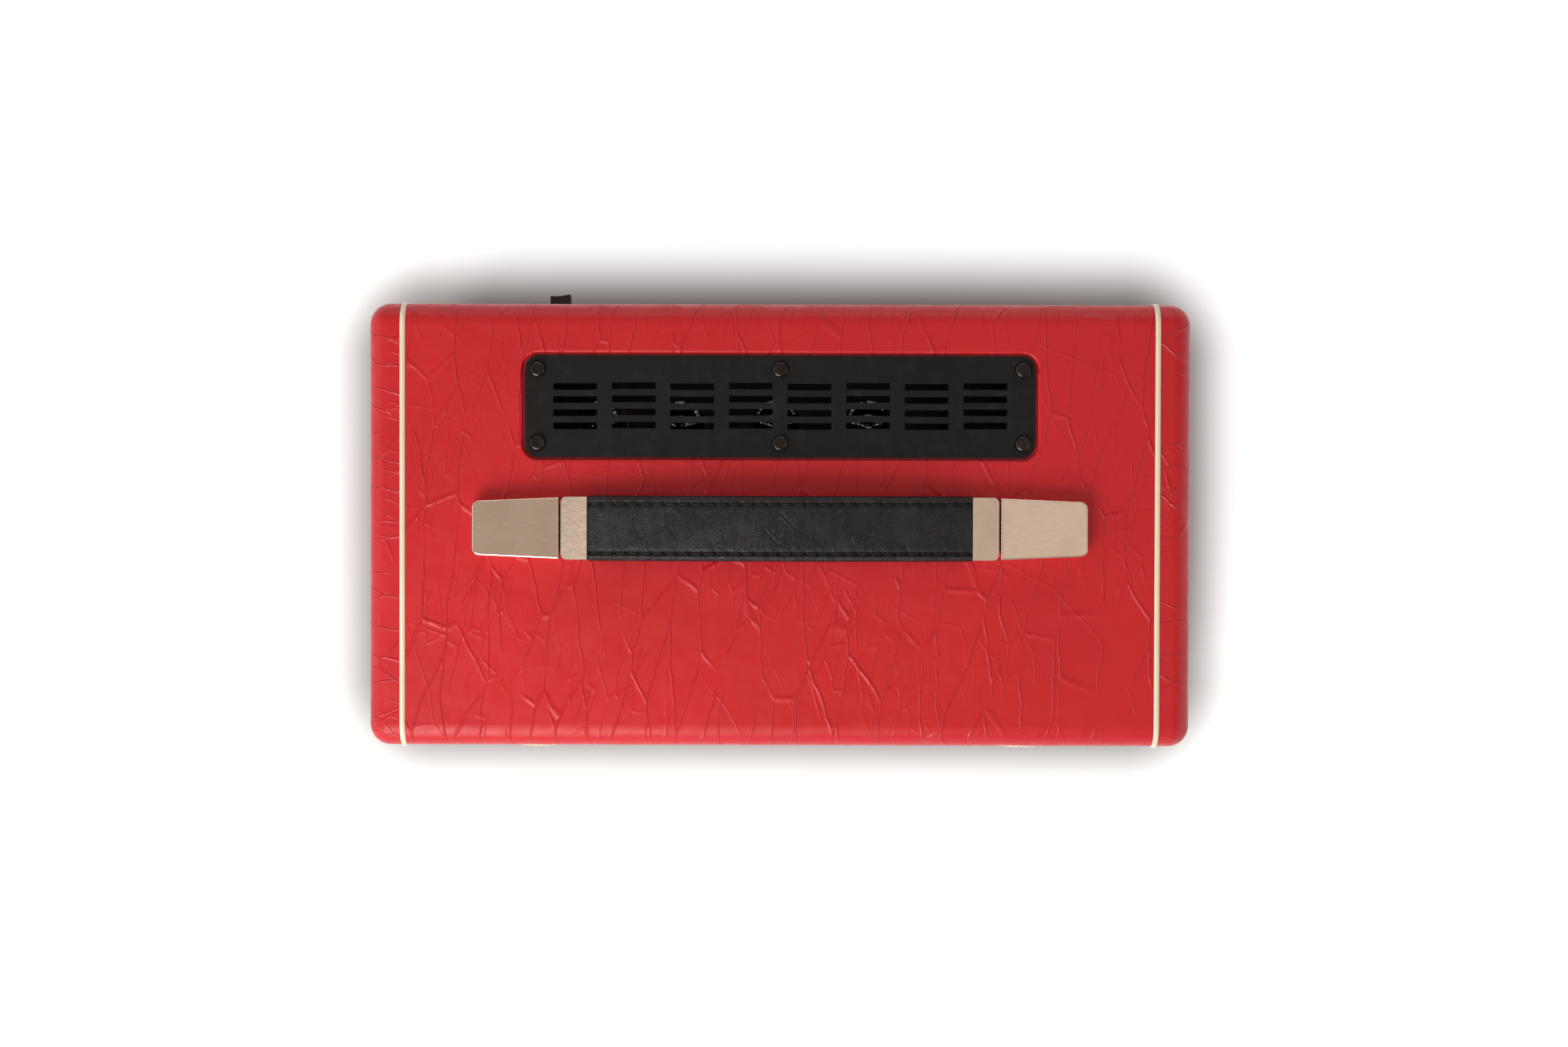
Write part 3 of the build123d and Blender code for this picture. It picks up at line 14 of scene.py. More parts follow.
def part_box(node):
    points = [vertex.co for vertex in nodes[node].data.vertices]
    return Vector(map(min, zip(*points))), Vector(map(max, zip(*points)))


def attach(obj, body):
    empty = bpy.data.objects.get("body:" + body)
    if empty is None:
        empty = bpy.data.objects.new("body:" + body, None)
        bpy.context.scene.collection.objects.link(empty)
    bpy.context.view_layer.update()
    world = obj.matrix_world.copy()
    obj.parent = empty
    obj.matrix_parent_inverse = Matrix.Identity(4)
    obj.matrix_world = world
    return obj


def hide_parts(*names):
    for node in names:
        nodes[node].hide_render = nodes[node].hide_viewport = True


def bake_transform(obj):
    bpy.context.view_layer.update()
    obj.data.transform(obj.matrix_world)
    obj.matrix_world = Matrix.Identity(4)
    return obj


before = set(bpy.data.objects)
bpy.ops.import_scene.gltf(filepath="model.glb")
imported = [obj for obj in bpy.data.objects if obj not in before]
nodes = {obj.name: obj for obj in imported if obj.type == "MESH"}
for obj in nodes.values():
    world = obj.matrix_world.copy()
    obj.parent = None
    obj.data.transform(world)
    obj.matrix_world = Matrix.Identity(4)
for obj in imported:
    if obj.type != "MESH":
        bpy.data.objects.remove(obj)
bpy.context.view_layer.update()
MM = 0.001
scene = bpy.context.scene

# %% [markdown]
# ## The camera
# The radio is seen from straight above, with its front edge towards the bottom of the picture. A camera that
# hangs over it sees the lid almost flat, but perspective still makes the handle, which is nearer, a little
# larger, and it hides the knobs, which stand out from the front only far below the lid's edge. From much
# higher up both effects would be gone, so the camera hangs about a metre over the lid.

# %% Hang the camera over the lid
lid_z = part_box("middle_cover")[1].z
CAMERA_HEIGHT = 1.050
CAMERA_LENS = 55.25
CAMERA_ROLL = math.radians(0.15)
camera_eye = Vector((0.0018, 0.0185, lid_z + CAMERA_HEIGHT))
camera_aim = Vector((0.0018, 0.0009, lid_z))

camera_data = bpy.data.cameras.new("camera")
camera_data.lens = CAMERA_LENS
camera_data.sensor_width = 36.0
camera_data.clip_start = 0.01
camera = bpy.data.objects.new("camera", camera_data)
scene.collection.objects.link(camera)
looking = (camera_eye - camera_aim).normalized()
across = Vector((0, 1, 0)).cross(looking).normalized()
upward = looking.cross(across)
camera.matrix_world = (
    Matrix.Translation(camera_eye)
    @ Matrix((across, upward, looking)).transposed().to_4x4()
    @ Matrix.Rotation(CAMERA_ROLL, 4, "Z")
)
scene.camera = camera
scene.view_settings.view_transform = "Standard"
print("camera at", [round(value, 3) for value in camera_eye])

# %% [markdown]
# ## Light and floor
# A product on white is usually lit by one big soft box, here over the front left corner, with pale light from
# all round it. The big box makes the soft shadow behind the handle and the gloss on the near edges. The world
# is brighter at the horizon than overhead, because polished nickel shows what is above it, and overhead in a
# studio there is a dim, warm ceiling. Two narrow strips draw the bright lines along the metal's rounded
# edges. The white floor glows a little, so that it reads as white paper, and it is hidden from diffuse rays:
# the room's own light from below replaces its glow, or the sides of the radio would be lit more than the lid.
# The glow is painted to fade near the radio by a rule on distance, which gives a painted soft shadow all round
# it.

# %% Place the soft boxes
def soft_box(name, place, aim, sides, power, colour):
    """An area light with two side lengths, at place, that points at aim."""
    data = bpy.data.lights.new(name, "AREA")
    data.shape = "RECTANGLE"
    data.size, data.size_y = sides
    data.energy = power
    data.color = colour
    light = bpy.data.objects.new(name, data)
    light.location = place
    light.rotation_euler = (Vector(aim) - Vector(place)).to_track_quat("-Z", "Y").to_euler()
    scene.collection.objects.link(light)
    return light


LID = (0, 0, 0.2)
WARM_WHITE = (1.0, 0.975, 0.95)
LIGHTS = [
    soft_box("key_light", (-0.36, -0.60, 0.80), (0, -0.03, 0.2), (0.60, 0.60), 7.4, WARM_WHITE),
    soft_box("rear_strip", (0.0, 1.15, 0.72), LID, (1.3, 0.12), 2.0, WARM_WHITE),
    soft_box("left_strip", (-1.20, 0.05, 0.74), LID, (1.1, 0.12), 1.6, WARM_WHITE),
    soft_box("right_light", (1.4, -0.5, 0.6), LID, (0.8, 0.8), 1.8, (0.98, 0.98, 1.0)),
    soft_box("ceiling_card", (0.62, 0.05, 1.62), (0.25, 0, 0.24), (0.62, 0.62), 0.30, (1.0, 0.90, 0.83)),
]
print(len(LIGHTS), "soft boxes")

# %% Light the room
BELOW = (0.50, 0.49, 0.48, 1.0)
HORIZON = (1.60, 1.59, 1.57, 1.0)
WALLS = (0.36, 0.35, 0.34, 1.0)
CEILING = (0.74, 0.62, 0.53, 1.0)
ROOM_STRENGTH = 0.62
world = bpy.data.worlds.new("studio")
world.use_nodes = True
scene.world = world
sky = world.node_tree
sky_way = sky.nodes.new("ShaderNodeTexCoord")
sky_split = sky.nodes.new("ShaderNodeSeparateXYZ")
sky_level = sky.nodes.new("ShaderNodeMapRange")
sky_level.inputs["From Min"].default_value = -1.0
sky_ramp = sky.nodes.new("ShaderNodeValToRGB")
sky.links.new(sky_way.outputs["Generated"], sky_split.inputs[0])
sky.links.new(sky_split.outputs["Z"], sky_level.inputs[0])
sky.links.new(sky_level.outputs[0], sky_ramp.inputs[0])
sky.links.new(sky_ramp.outputs[0], sky.nodes["Background"].inputs["Color"])
sky_stops = sky_ramp.color_ramp.elements
sky_stops[0].position = 0.45
sky_stops[0].color = BELOW
sky_stops[1].position = 0.93
sky_stops[1].color = CEILING
for height, colour in ((0.49, HORIZON), (0.57, HORIZON), (0.66, WALLS), (0.86, WALLS)):
    sky_stops.new(height).color = colour
sky.nodes["Background"].inputs["Strength"].default_value = ROOM_STRENGTH
print("world from", HORIZON[:3], "to", CEILING[:3])

# %% Lay the floor
FLOOR_SIDE = 80.0
floor_mesh = bpy.data.meshes.new("floor")
half = FLOOR_SIDE / 2
floor_corners = [(-half, -half, 0), (half, -half, 0), (half, half, 0), (-half, half, 0)]
floor_mesh.from_pydata(floor_corners, [], [(0, 1, 2, 3)])
floor = bpy.data.objects.new("floor", floor_mesh)
scene.collection.objects.link(floor)
floor.visible_diffuse = False
print("floor", FLOOR_SIDE, "m square")

# %% Paint the floor white, with a painted soft shadow round the radio
PAINTED_SHADOW_HALF = (0.182, 0.083, 0.0)
PAINTED_SHADOW_FROM, PAINTED_SHADOW_TO = 0.026, 0.066
FLOOR_GLOW = 0.90
floor_paint = bpy.data.materials.new("floor_paint")
floor_paint.use_nodes = True
floor_nodes = floor_paint.node_tree
floor_shader = floor_nodes.nodes["Principled BSDF"]
floor_shader.inputs["Base Color"].default_value = (0.36, 0.36, 0.36, 1)
floor_shader.inputs["Roughness"].default_value = 0.9
floor_shader.inputs["Specular IOR Level"].default_value = 0.1
floor_shader.inputs["Emission Strength"].default_value = FLOOR_GLOW
floor_at = floor_nodes.nodes.new("ShaderNodeTexCoord").outputs["Object"]
for operation, other in (("ABSOLUTE", None), ("SUBTRACT", PAINTED_SHADOW_HALF), ("MAXIMUM", (0, 0, 0))):
    step = floor_nodes.nodes.new("ShaderNodeVectorMath")
    step.operation = operation
    floor_nodes.links.new(floor_at, step.inputs[0])
    if other:
        step.inputs[1].default_value = other
    floor_at = step.outputs[0]
outside = floor_nodes.nodes.new("ShaderNodeVectorMath")
outside.operation = "LENGTH"
floor_nodes.links.new(floor_at, outside.inputs[0])
# The glow falls off near the radio's outline: this is a painted shadow, not one cast by the lights.
glow = floor_nodes.nodes.new("ShaderNodeMapRange")
glow.interpolation_type = "SMOOTHSTEP"
glow.inputs["From Min"].default_value = PAINTED_SHADOW_FROM
glow.inputs["From Max"].default_value = PAINTED_SHADOW_TO
floor_nodes.links.new(outside.outputs["Value"], glow.inputs[0])
floor_nodes.links.new(glow.outputs[0], floor_shader.inputs["Emission Color"])
floor_mesh.materials.append(floor_paint)
print("floor glows with strength", FLOOR_GLOW)

# %% [markdown]
# ## A few words for making finishes
# Every finish here is one Principled shader with a few texture nodes in front of it. Making and joining nodes
# by hand takes three lines each, so these helpers say it in one: `place` adds a node and joins its inputs,
# `grain` is a noise whose size is given in millimetres, `between` keeps part of a value's range, and `relief`
# turns a height into bumps of a real depth. Finishes use the object's own coordinates, which are metres in
# the radio's frame, so a grain has its true size on every piece without unwrapping anything.

# %% Helpers for finishes
def new_finish(name, colour, roughness, metallic=0.0, **more):
    """A material whose shader has these values; more gives other sockets, with _ for a space."""
    finish = bpy.data.materials.new(name)
    finish.use_nodes = True
    shader = finish.node_tree.nodes["Principled BSDF"]
    shader.inputs["Base Color"].default_value = (*colour, 1.0)
    shader.inputs["Roughness"].default_value = roughness
    shader.inputs["Metallic"].default_value = metallic
    for socket, value in more.items():
        shader.inputs[socket.replace("_", " ")].default_value = value
    finish.diffuse_color = (*colour, 1.0)
    return finish


def place(finish, kind, joins, **settings):
    """Adds a node; joins maps an input's name or number to a value or to another node's output."""
    node = finish.node_tree.nodes.new("ShaderNode" + kind)
    for setting, value in settings.items():
        setattr(node, setting, value)
    for key, value in joins.items():
        if isinstance(value, bpy.types.NodeSocket):
            finish.node_tree.links.new(value, node.inputs[key])
        else:
            node.inputs[key].default_value = value
    return node


def feed(finish, socket, output):
    """Joins an output to a socket of the finish's shader."""
    finish.node_tree.links.new(output, finish.node_tree.nodes["Principled BSDF"].inputs[socket])


def spot(finish, output="Object"):
    """Where on the object a point of the surface is, in metres."""
    return place(finish, "TexCoord", {}).outputs[output]


def maths(finish, operation, first, second=0.0):
    """One sum of two numbers."""
    return place(finish, "Math", {0: first, 1: second}, operation=operation).outputs[0]


def stretch(finish, at, scale=(1, 1, 1), turn=(0, 0, 0), shift=(0, 0, 0)):
    """The same spot in a frame that is turned, then stretched."""
    turned = place(finish, "Mapping", {"Vector": at, "Rotation": turn, "Location": shift})
    return place(finish, "VectorMath", {0: turned.outputs[0], 1: scale}, operation="MULTIPLY").outputs[0]


def grain(finish, at, size_mm, detail=2.0, rough=0.5):
    """Noise from 0 to 1 with features about size_mm across."""
    joins = {"Vector": at, "Scale": 1 / (size_mm * MM), "Detail": detail, "Roughness": rough}
    return place(finish, "TexNoise", joins).outputs[0]


def between(finish, value, low, high, out_low=0.0, out_high=1.0):
    """out_low below low, out_high above high, and a smooth rise between them."""
    joins = {"Value": value, "From Min": low, "From Max": high, "To Min": out_low, "To Max": out_high}
    return place(finish, "MapRange", joins, interpolation_type="SMOOTHSTEP").outputs[0]


def tint(finish, factor, first, second):
    """A colour that goes from first to second as factor goes from 0 to 1."""
    joins = {0: factor}
    for key, colour in ((6, first), (7, second)):
        joins[key] = colour if isinstance(colour, bpy.types.NodeSocket) else (*colour, 1.0)
    return place(finish, "Mix", joins, data_type="RGBA").outputs[2]


def relief(finish, height, depth_mm):
    """Bumps whose height 1 stands depth_mm proud."""
    bump = place(finish, "Bump", {"Height": height, "Distance": depth_mm * MM, "Strength": 1.0})
    feed(finish, "Normal", bump.outputs[0])


def axis_of(finish, at, letter):
    """One coordinate of a spot."""
    return place(finish, "SeparateXYZ", {0: at}).outputs[letter]


def away_from(finish, at, centre, across_axes=(1, 1, 1)):
    """How far a spot is from a centre; an axis with 0 in across_axes doesn't count."""
    gap = place(finish, "VectorMath", {0: at, 1: centre}, operation="SUBTRACT").outputs[0]
    kept = place(finish, "VectorMath", {0: gap, 1: across_axes}, operation="MULTIPLY").outputs[0]
    return place(finish, "VectorMath", {0: kept}, operation="LENGTH").outputs["Value"]


finish_of = {}  # which finish each CAD piece wears
print("helpers ready")

# %% [markdown]
# ## Red leathercloth
# The covering is a vinyl-coated cloth that was embossed with a long, torn-looking crease pattern, mostly from
# front to back. Its creases are fine lines about half a millimetre wide that start and stop, with a fainter
# net between them. Modelling each crease would take millions of faces, so they are drawn by a cell texture
# whose cell walls are the creases: the cells are stretched along one direction, bent by noise so that no line
# is straight, and faded in and out by a second noise. Three such nets of different sizes and angles add up.

# %% One net of creases
def crease_net(finish, at, cell_mm, turn_degrees, line, bend_mm, shown, shift):
    """Height of a net of creases: 1 on a line and 0 beside it, faded where the noise is under shown."""
    wander = place(finish, "TexNoise", {"Vector": at, "Scale": 1 / (bend_mm * 4.0 * MM), "Detail": 3.0})
    offset = place(finish, "VectorMath", {0: wander.outputs[1], 1: (0.5, 0.5, 0.5)}, operation="SUBTRACT")
    bent = place(
        finish,
        "VectorMath",
        {0: offset.outputs[0], 1: (bend_mm * MM,) * 3, 2: at},
        operation="MULTIPLY_ADD",
    )
    turn = [math.radians(angle) for angle in turn_degrees]
    cells = stretch(finish, bent.outputs[0], [1 / (side * MM) for side in cell_mm], turn, shift)
    walls = place(finish, "TexVoronoi", {"Vector": cells, "Scale": 1.0}, feature="DISTANCE_TO_EDGE")
    ridge = between(finish, walls.outputs["Distance"], 0.0, line, 1.0, 0.0)
    fade = between(finish, grain(finish, stretch(finish, at, shift=shift), 34.0, 2.0), shown, shown + 0.14)
    return maths(finish, "MULTIPLY", ridge, fade)


# %% The leathercloth itself
RED = (0.600, 0.0125, 0.0185)
DEEP_RED = (0.44, 0.0060, 0.0110)
SLANTED_SHARE = 0.30
FINE_SHARE = 0.48
CREASE_DEPTH_MM = 0.31


def leathercloth(name, long_way, short_way):
    """Embossed red vinyl whose creases run the long way; both ways are cell sizes in mm along x, y, z."""
    finish = new_finish(name, RED, 0.40, Specular_IOR_Level=0.42)
    at = spot(finish)
    main = crease_net(finish, at, long_way, (4, 3, 5), 0.036, 7.5, 0.35, (0, 0, 0))
    slanted = crease_net(finish, at, short_way, (24, 10, -28), 0.022, 8.0, 0.48, (0.31, 0.17, 0.05))
    small = [side * 0.45 for side in long_way]
    fine = crease_net(finish, at, small, (9, 6, 14), 0.060, 5.0, 0.47, (0.11, 0.43, 0.29))
    sharp = maths(finish, "ADD", main, maths(finish, "MULTIPLY", slanted, SLANTED_SHARE))
    creases = maths(finish, "ADD", sharp, maths(finish, "MULTIPLY", fine, FINE_SHARE))
    swell = maths(finish, "MULTIPLY", grain(finish, at, 17.0, 2.0), 1.5)
    pores = maths(finish, "MULTIPLY", grain(finish, at, 0.9, 2.0, 0.6), 0.10)
    height = maths(finish, "ADD", maths(finish, "ADD", creases, swell), pores)
    relief(finish, height, CREASE_DEPTH_MM)
    patchy = between(finish, grain(finish, at, 55.0, 3.0), 0.35, 0.65)
    body = tint(finish, maths(finish, "MULTIPLY", patchy, 0.22), RED, DEEP_RED)
    # The creases are also tinted darker: painted shade in the creases.
    feed(finish, "Base Color", tint(finish, maths(finish, "MULTIPLY", creases, 0.10), body, DEEP_RED))
    worn = between(finish, grain(finish, at, 8.0, 3.0), 0.3, 0.7, 0.36, 0.47)
    feed(finish, "Roughness", worn)
    return finish


finish_of["middle_cover"] = leathercloth("red_leathercloth", (14, 50, 50), (30, 60, 60))
finish_of["cheek_covers"] = leathercloth("red_leathercloth_cheeks", (30, 13, 34), (26, 30, 22))
print("leathercloth on", list(finish_of))

# %% [markdown]
# ## Cream piping
# The piping is an extruded bead of soft plastic in the joint between the lid and each cheek. Old soft plastic
# isn't one flat cream: it yellows in patches and keeps a soft gloss. Its round section is in the CAD mesh, so
# the finish only needs the patches and a very slight waviness.

# %% Cream mouldings
CREAM = (0.91, 0.80, 0.60)
AGED_CREAM = (0.85, 0.69, 0.44)


def cream_moulding(name, roughness):
    """Cream plastic with faint yellow patches and a soft, uneven gloss."""
    finish = new_finish(name, CREAM, roughness, Subsurface_Weight=0.0)
    at = spot(finish)
    patches = between(finish, grain(finish, at, 22.0, 3.0), 0.35, 0.75)
    feed(finish, "Base Color", tint(finish, maths(finish, "MULTIPLY", patches, 0.5), CREAM, AGED_CREAM))
    handled = grain(finish, at, 4.0, 3.0)
    feed(finish, "Roughness", between(finish, handled, 0.3, 0.7, roughness - 0.06, roughness + 0.08))
    relief(finish, grain(finish, at, 3.0, 2.0), 0.03)
    return finish


finish_of["piping"] = cream_moulding("cream_piping", 0.34)
finish_of["grille_bead"] = cream_moulding("cream_bead", 0.28)
finish_of["dial_bezel"] = finish_of["grille_bead"]
print("cream on piping, grille bead and dial bezel")

# %% [markdown]
# ## Satin black enamel
# The vent plate is steel with baked black enamel. Sprayed enamel has a very fine orange peel, and it rubs a
# little greyer and glossier where fingers and cloths pass. 

# %% Black enamels
def black_enamel(name, colour, roughness, peel_mm, peel_depth, shine=0.42):
    """Sprayed black enamel: orange peel, and patches that are rubbed smoother."""
    finish = new_finish(name, colour, roughness, Specular_IOR_Level=shine)
    at = spot(finish)
    rubbed = between(finish, grain(finish, at, 18.0, 4.0), 0.35, 0.7, roughness + 0.05, roughness - 0.05)
    feed(finish, "Roughness", rubbed)
    lighter = [channel * 1.7 + 0.002 for channel in colour]
    greyed = between(finish, grain(finish, at, 6.0, 5.0), 0.45, 0.8)
    feed(finish, "Base Color", tint(finish, greyed, colour, lighter))
    relief(finish, grain(finish, at, peel_mm, 2.0), peel_depth)
    return finish


finish_of["vent_plate"] = black_enamel("vent_enamel", (0.0060, 0.0058, 0.0056), 0.48, 0.9, 0.010, 0.26)
finish_of["speaker_frame"] = black_enamel("speaker_enamel", (0.05, 0.06, 0.05), 0.35, 1.6, 0.05)
finish_of["chassis"] = black_enamel("chassis_enamel", (0.030, 0.029, 0.027), 0.42, 1.3, 0.03)
finish_of["rocker_paddle"] = black_enamel("glossy_black", (0.010, 0.010, 0.010), 0.16, 5.0, 0.006)
for moulded in ("rocker_housing", "mains_inlet", "aerial_sockets"):
    finish_of[moulded] = black_enamel(moulded + "_black", (0.014, 0.014, 0.014), 0.46, 0.35, 0.012)
print("black finishes made")

# %% [markdown]
# ## Nickel plate
# The end caps and ferrules are polished nickel, which is warmer than chrome. A mirror has no colour of its
# own beyond that warmth, so most of its look is what it reflects. Small things make it real: fine rubbing
# marks along the cap, a gentle unevenness from polishing, and cloudy patches where the lacquer has aged.

# %% Nickel
NICKEL = (0.86, 0.725, 0.61)
CLOUDED_NICKEL = (0.78, 0.645, 0.53)


def nickel_plate(name, roughness, dimple_depth):
    """Polished nickel with cloudy patches, rubbing marks and a dimpled or smooth face."""
    finish = new_finish(name, NICKEL, roughness, 1.0)
    at = spot(finish)
    cloud = between(finish, grain(finish, at, 14.0, 3.0), 0.4, 0.7)
    feed(finish, "Base Color", tint(finish, maths(finish, "MULTIPLY", cloud, 0.6), NICKEL, CLOUDED_NICKEL))
    rubs = grain(finish, stretch(finish, at, (0.12, 1.0, 1.0)), 0.5, 2.0)
    feed(finish, "Roughness", between(finish, rubs, 0.3, 0.75, roughness - 0.04, roughness + 0.08))
    relief(finish, grain(finish, at, 2.2, 2.0), dimple_depth)
    return finish


finish_of["handle_end_caps"] = nickel_plate("nickel_caps", 0.14, 0.0015)
for side in ("left", "right"):
    finish_of[side + "_ferrule_and_core"] = nickel_plate(side + "_nickel_ferrule", 0.32, 0.0015)
print("nickel on caps and ferrules")

# %% [markdown]
# ## Bare metals
# Zinc plate on the screws is bright with a slight rainbow stain. Turned steel on the shafts keeps fine rings
# from the lathe. Aluminium sheet is dull, with a rolled grain in one direction. They share one recipe, a noise
# stretched along the rolling direction, and differ in colour, roughness and stretch.

# %% Metal sheet, castings and screws
def worked_metal(name, colour, roughness, along, grain_mm=0.5, stain=None):
    """Metal with a grain drawn out along one direction, and stain as the colour of its patches."""
    finish = new_finish(name, colour, roughness, 1.0)
    at = spot(finish)
    lines = grain(finish, stretch(finish, at, along), grain_mm, 3.0)
    feed(finish, "Roughness", between(finish, lines, 0.25, 0.75, roughness - 0.07, roughness + 0.10))
    second = stain or [channel * 0.72 for channel in colour]
    patches = between(finish, grain(finish, at, 11.0, 4.0), 0.42, 0.72)
    feed(finish, "Base Color", tint(finish, maths(finish, "MULTIPLY", patches, 0.6), colour, second))
    relief(finish, lines, 0.010)
    return finish


zinc = worked_metal("zinc_plate", (0.66, 0.66, 0.63), 0.30, (1, 1, 1), 0.8, (0.62, 0.58, 0.42))
turned = worked_metal("turned_steel", (0.56, 0.56, 0.54), 0.26, (1, 8, 1), 0.8)
drawn = worked_metal("drawn_aluminium", (0.74, 0.74, 0.73), 0.33, (1, 1, 0.08), 0.5)
plain = worked_metal("plain_aluminium", (0.70, 0.70, 0.69), 0.38, (1, 0.1, 1), 0.5)
blued = worked_metal("blued_steel", (0.055, 0.052, 0.050), 0.22, (1, 1, 1), 0.7, (0.028, 0.026, 0.025))
finish_of["vent_screws"] = blued
for screws in ("foot_screws", "cabinet_screws", "handle_bolts"):
    finish_of[screws] = zinc
for blued_piece in ("left_tongue", "right_tongue", "handle_anchors"):
    finish_of[blued_piece] = blued
for turned_piece in ("volume_shaft", "band_shaft", "tuning_spindle", "control_bodies"):
    finish_of[turned_piece] = turned
for light_piece in ("left_cord_pulley", "right_cord_pulley", "gang_frame", "gang_rotor", "drive_drum"):
    finish_of[light_piece] = plain
finish_of["chassis_cans"] = drawn
METALS = (zinc, turned, drawn, plain, blued)
print("metals on", sum(finish in METALS for finish in finish_of.values()), "pieces")

# %% [markdown]
# ## Champagne panel
# The control panel is aluminium, brushed from left to right and anodised the colour of champagne. Brushing is
# a noise stretched a hundred times along X. It belongs in the roughness and in very shallow bumps, so that
# the highlight smears across the panel instead of showing painted stripes.

# %% Brushed champagne
CHAMPAGNE = (0.78, 0.64, 0.42)
panel_finish = new_finish("champagne_panel", CHAMPAGNE, 0.3, 1.0)
panel_at = spot(panel_finish)
brushing = grain(panel_finish, stretch(panel_finish, panel_at, (0.012, 1, 1)), 0.35, 3.0)
feed(panel_finish, "Roughness", between(panel_finish, brushing, 0.25, 0.75, 0.24, 0.44))
panel_tone = between(panel_finish, grain(panel_finish, panel_at, 60.0, 2.0), 0.3, 0.7)
feed(panel_finish, "Base Color", tint(panel_finish, panel_tone, CHAMPAGNE, (0.73, 0.59, 0.37)))
relief(panel_finish, brushing, 0.012)
finish_of["control_panel"] = panel_finish
print("brushing on the panel")

# %% [markdown]
# ## Knobs
# Each knob is a cream moulding with a ribbed skirt and a spun brass disc let into its face. The disc is a part
# of the same mesh, so the finish tells it apart by place: it is inside a circle round the knob's axis and
# near the front. Rings round that axis give the spun look, as a record's grooves do.

# %% Cream knobs with spun discs
BRASS = (0.66, 0.47, 0.20)
RING_PITCH = 1.3 * MM
DISC_FROM_RIM = 4.85 * MM
DISC_DEPTH = 1.0 * MM


def knob_finish(name):
    """Cream plastic, and a spun brass disc on the knob's face."""
    low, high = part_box(name)
    middle = (low + high) / 2
    disc_radius = (high.x - low.x) / 2 - DISC_FROM_RIM
    finish = new_finish(name + "_finish", CREAM, 0.26)
    at = spot(finish)
    radius = away_from(finish, at, middle, (1, 0, 1))
    inside = maths(finish, "LESS_THAN", radius, disc_radius)
    in_front = maths(finish, "LESS_THAN", axis_of(finish, at, "Y"), low.y + DISC_DEPTH)
    disc = maths(finish, "MULTIPLY", inside, in_front)
    patches = between(finish, grain(finish, at, 9.0, 3.0), 0.35, 0.75)
    cream = tint(finish, maths(finish, "MULTIPLY", patches, 0.45), CREAM, AGED_CREAM)
    feed(finish, "Base Color", tint(finish, disc, cream, BRASS))
    feed(finish, "Metallic", disc)
    rings = maths(finish, "SINE", maths(finish, "MULTIPLY", radius, 2 * math.pi / RING_PITCH))
    relief(finish, maths(finish, "MULTIPLY", rings, disc), 0.012)
    gloss = between(finish, grain(finish, at, 2.0, 3.0), 0.3, 0.7, 0.20, 0.34)
    feed(finish, "Roughness", gloss)
    return finish


for knob in ("volume_knob", "band_knob", "tuning_knob"):
    finish_of[knob] = knob_finish(knob)
print("three knobs with discs")

# %% [markdown]
# ## Plywood
# The boards are bare birch plywood. Faces show a pale figure drawn out along the board, and edges show thin
# plies. One noise stretched along the length gives the figure; most of the wood is hidden under leathercloth,
# so the plies on the edges are left to a second, finer noise.

# %% Birch ply
BIRCH = (0.66, 0.47, 0.27)
birch = new_finish("birch_ply", BIRCH, 0.62, Specular_IOR_Level=0.25)
birch_at = spot(birch)
figure = grain(birch, stretch(birch, birch_at, (0.08, 1, 0.6)), 6.0, 5.0, 0.6)
fibre = grain(birch, stretch(birch, birch_at, (0.05, 1, 1)), 0.6, 3.0)
birch_tone = tint(birch, between(birch, figure, 0.3, 0.7), BIRCH, (0.50, 0.32, 0.16))
FIBRE_BROWN = (0.36, 0.22, 0.11)
brown_fibre = between(birch, fibre, 0.55, 0.8, 0.0, 0.4)
feed(birch, "Base Color", tint(birch, brown_fibre, birch_tone, FIBRE_BROWN))
relief(birch, fibre, 0.05)
for board in ("top_board", "bottom_board", "front_frame", "back_frame", "cheek_boards", "baffle_board"):
    finish_of[board] = birch
print("birch on six boards")

# %% [markdown]
# ## Board, rubber and paper
# The back is dark pressed hardboard, which is smooth but mottled with fibres. The feet are moulded rubber,
# and the loudspeaker's cone is black felted paper with a fine radial crinkle. Each is a rough, dark surface
# that is told from the others by the shape of its grain.

# %% Hardboard, rubber, paper and resin board
def fibrous(name, colour, second, roughness, fibre_mm, depth_mm, along=(1, 1, 1)):
    """A matt surface with fibres of two colours."""
    finish = new_finish(name, colour, roughness, Specular_IOR_Level=0.3)
    at = spot(finish)
    fibres = grain(finish, stretch(finish, at, along), fibre_mm, 5.0, 0.65)
    feed(finish, "Base Color", tint(finish, between(finish, fibres, 0.38, 0.68), colour, second))
    feed(finish, "Roughness", between(finish, fibres, 0.3, 0.7, roughness - 0.08, roughness + 0.08))
    relief(finish, fibres, depth_mm)
    return finish


finish_of["back_panel"] = fibrous(
    "pressed_board", (0.050, 0.034, 0.024), (0.115, 0.080, 0.052), 0.62, 2.6, 0.06
)
finish_of["feet"] = fibrous("foot_rubber", (0.018, 0.018, 0.018), (0.035, 0.034, 0.033), 0.72, 1.2, 0.05)
finish_of["tag_board"] = fibrous(
    "resin_paper_board", (0.28, 0.13, 0.045), (0.20, 0.085, 0.028), 0.38, 3.5, 0.02, (0.2, 1, 1)
)
finish_of["valve_sockets"] = finish_of["tag_board"]
finish_of["transformer_windings"] = fibrous(
    "waxed_paper", (0.48, 0.28, 0.10), (0.36, 0.19, 0.06), 0.42, 1.4, 0.05
)
finish_of["drive_cord"] = fibrous("braided_cord", (0.60, 0.54, 0.42), (0.42, 0.37, 0.28), 0.7, 0.35, 0.12)
finish_of["dial_pointer"] = black_enamel("red_enamel", (0.58, 0.022, 0.014), 0.28, 0.8, 0.006)
print("matt finishes made")

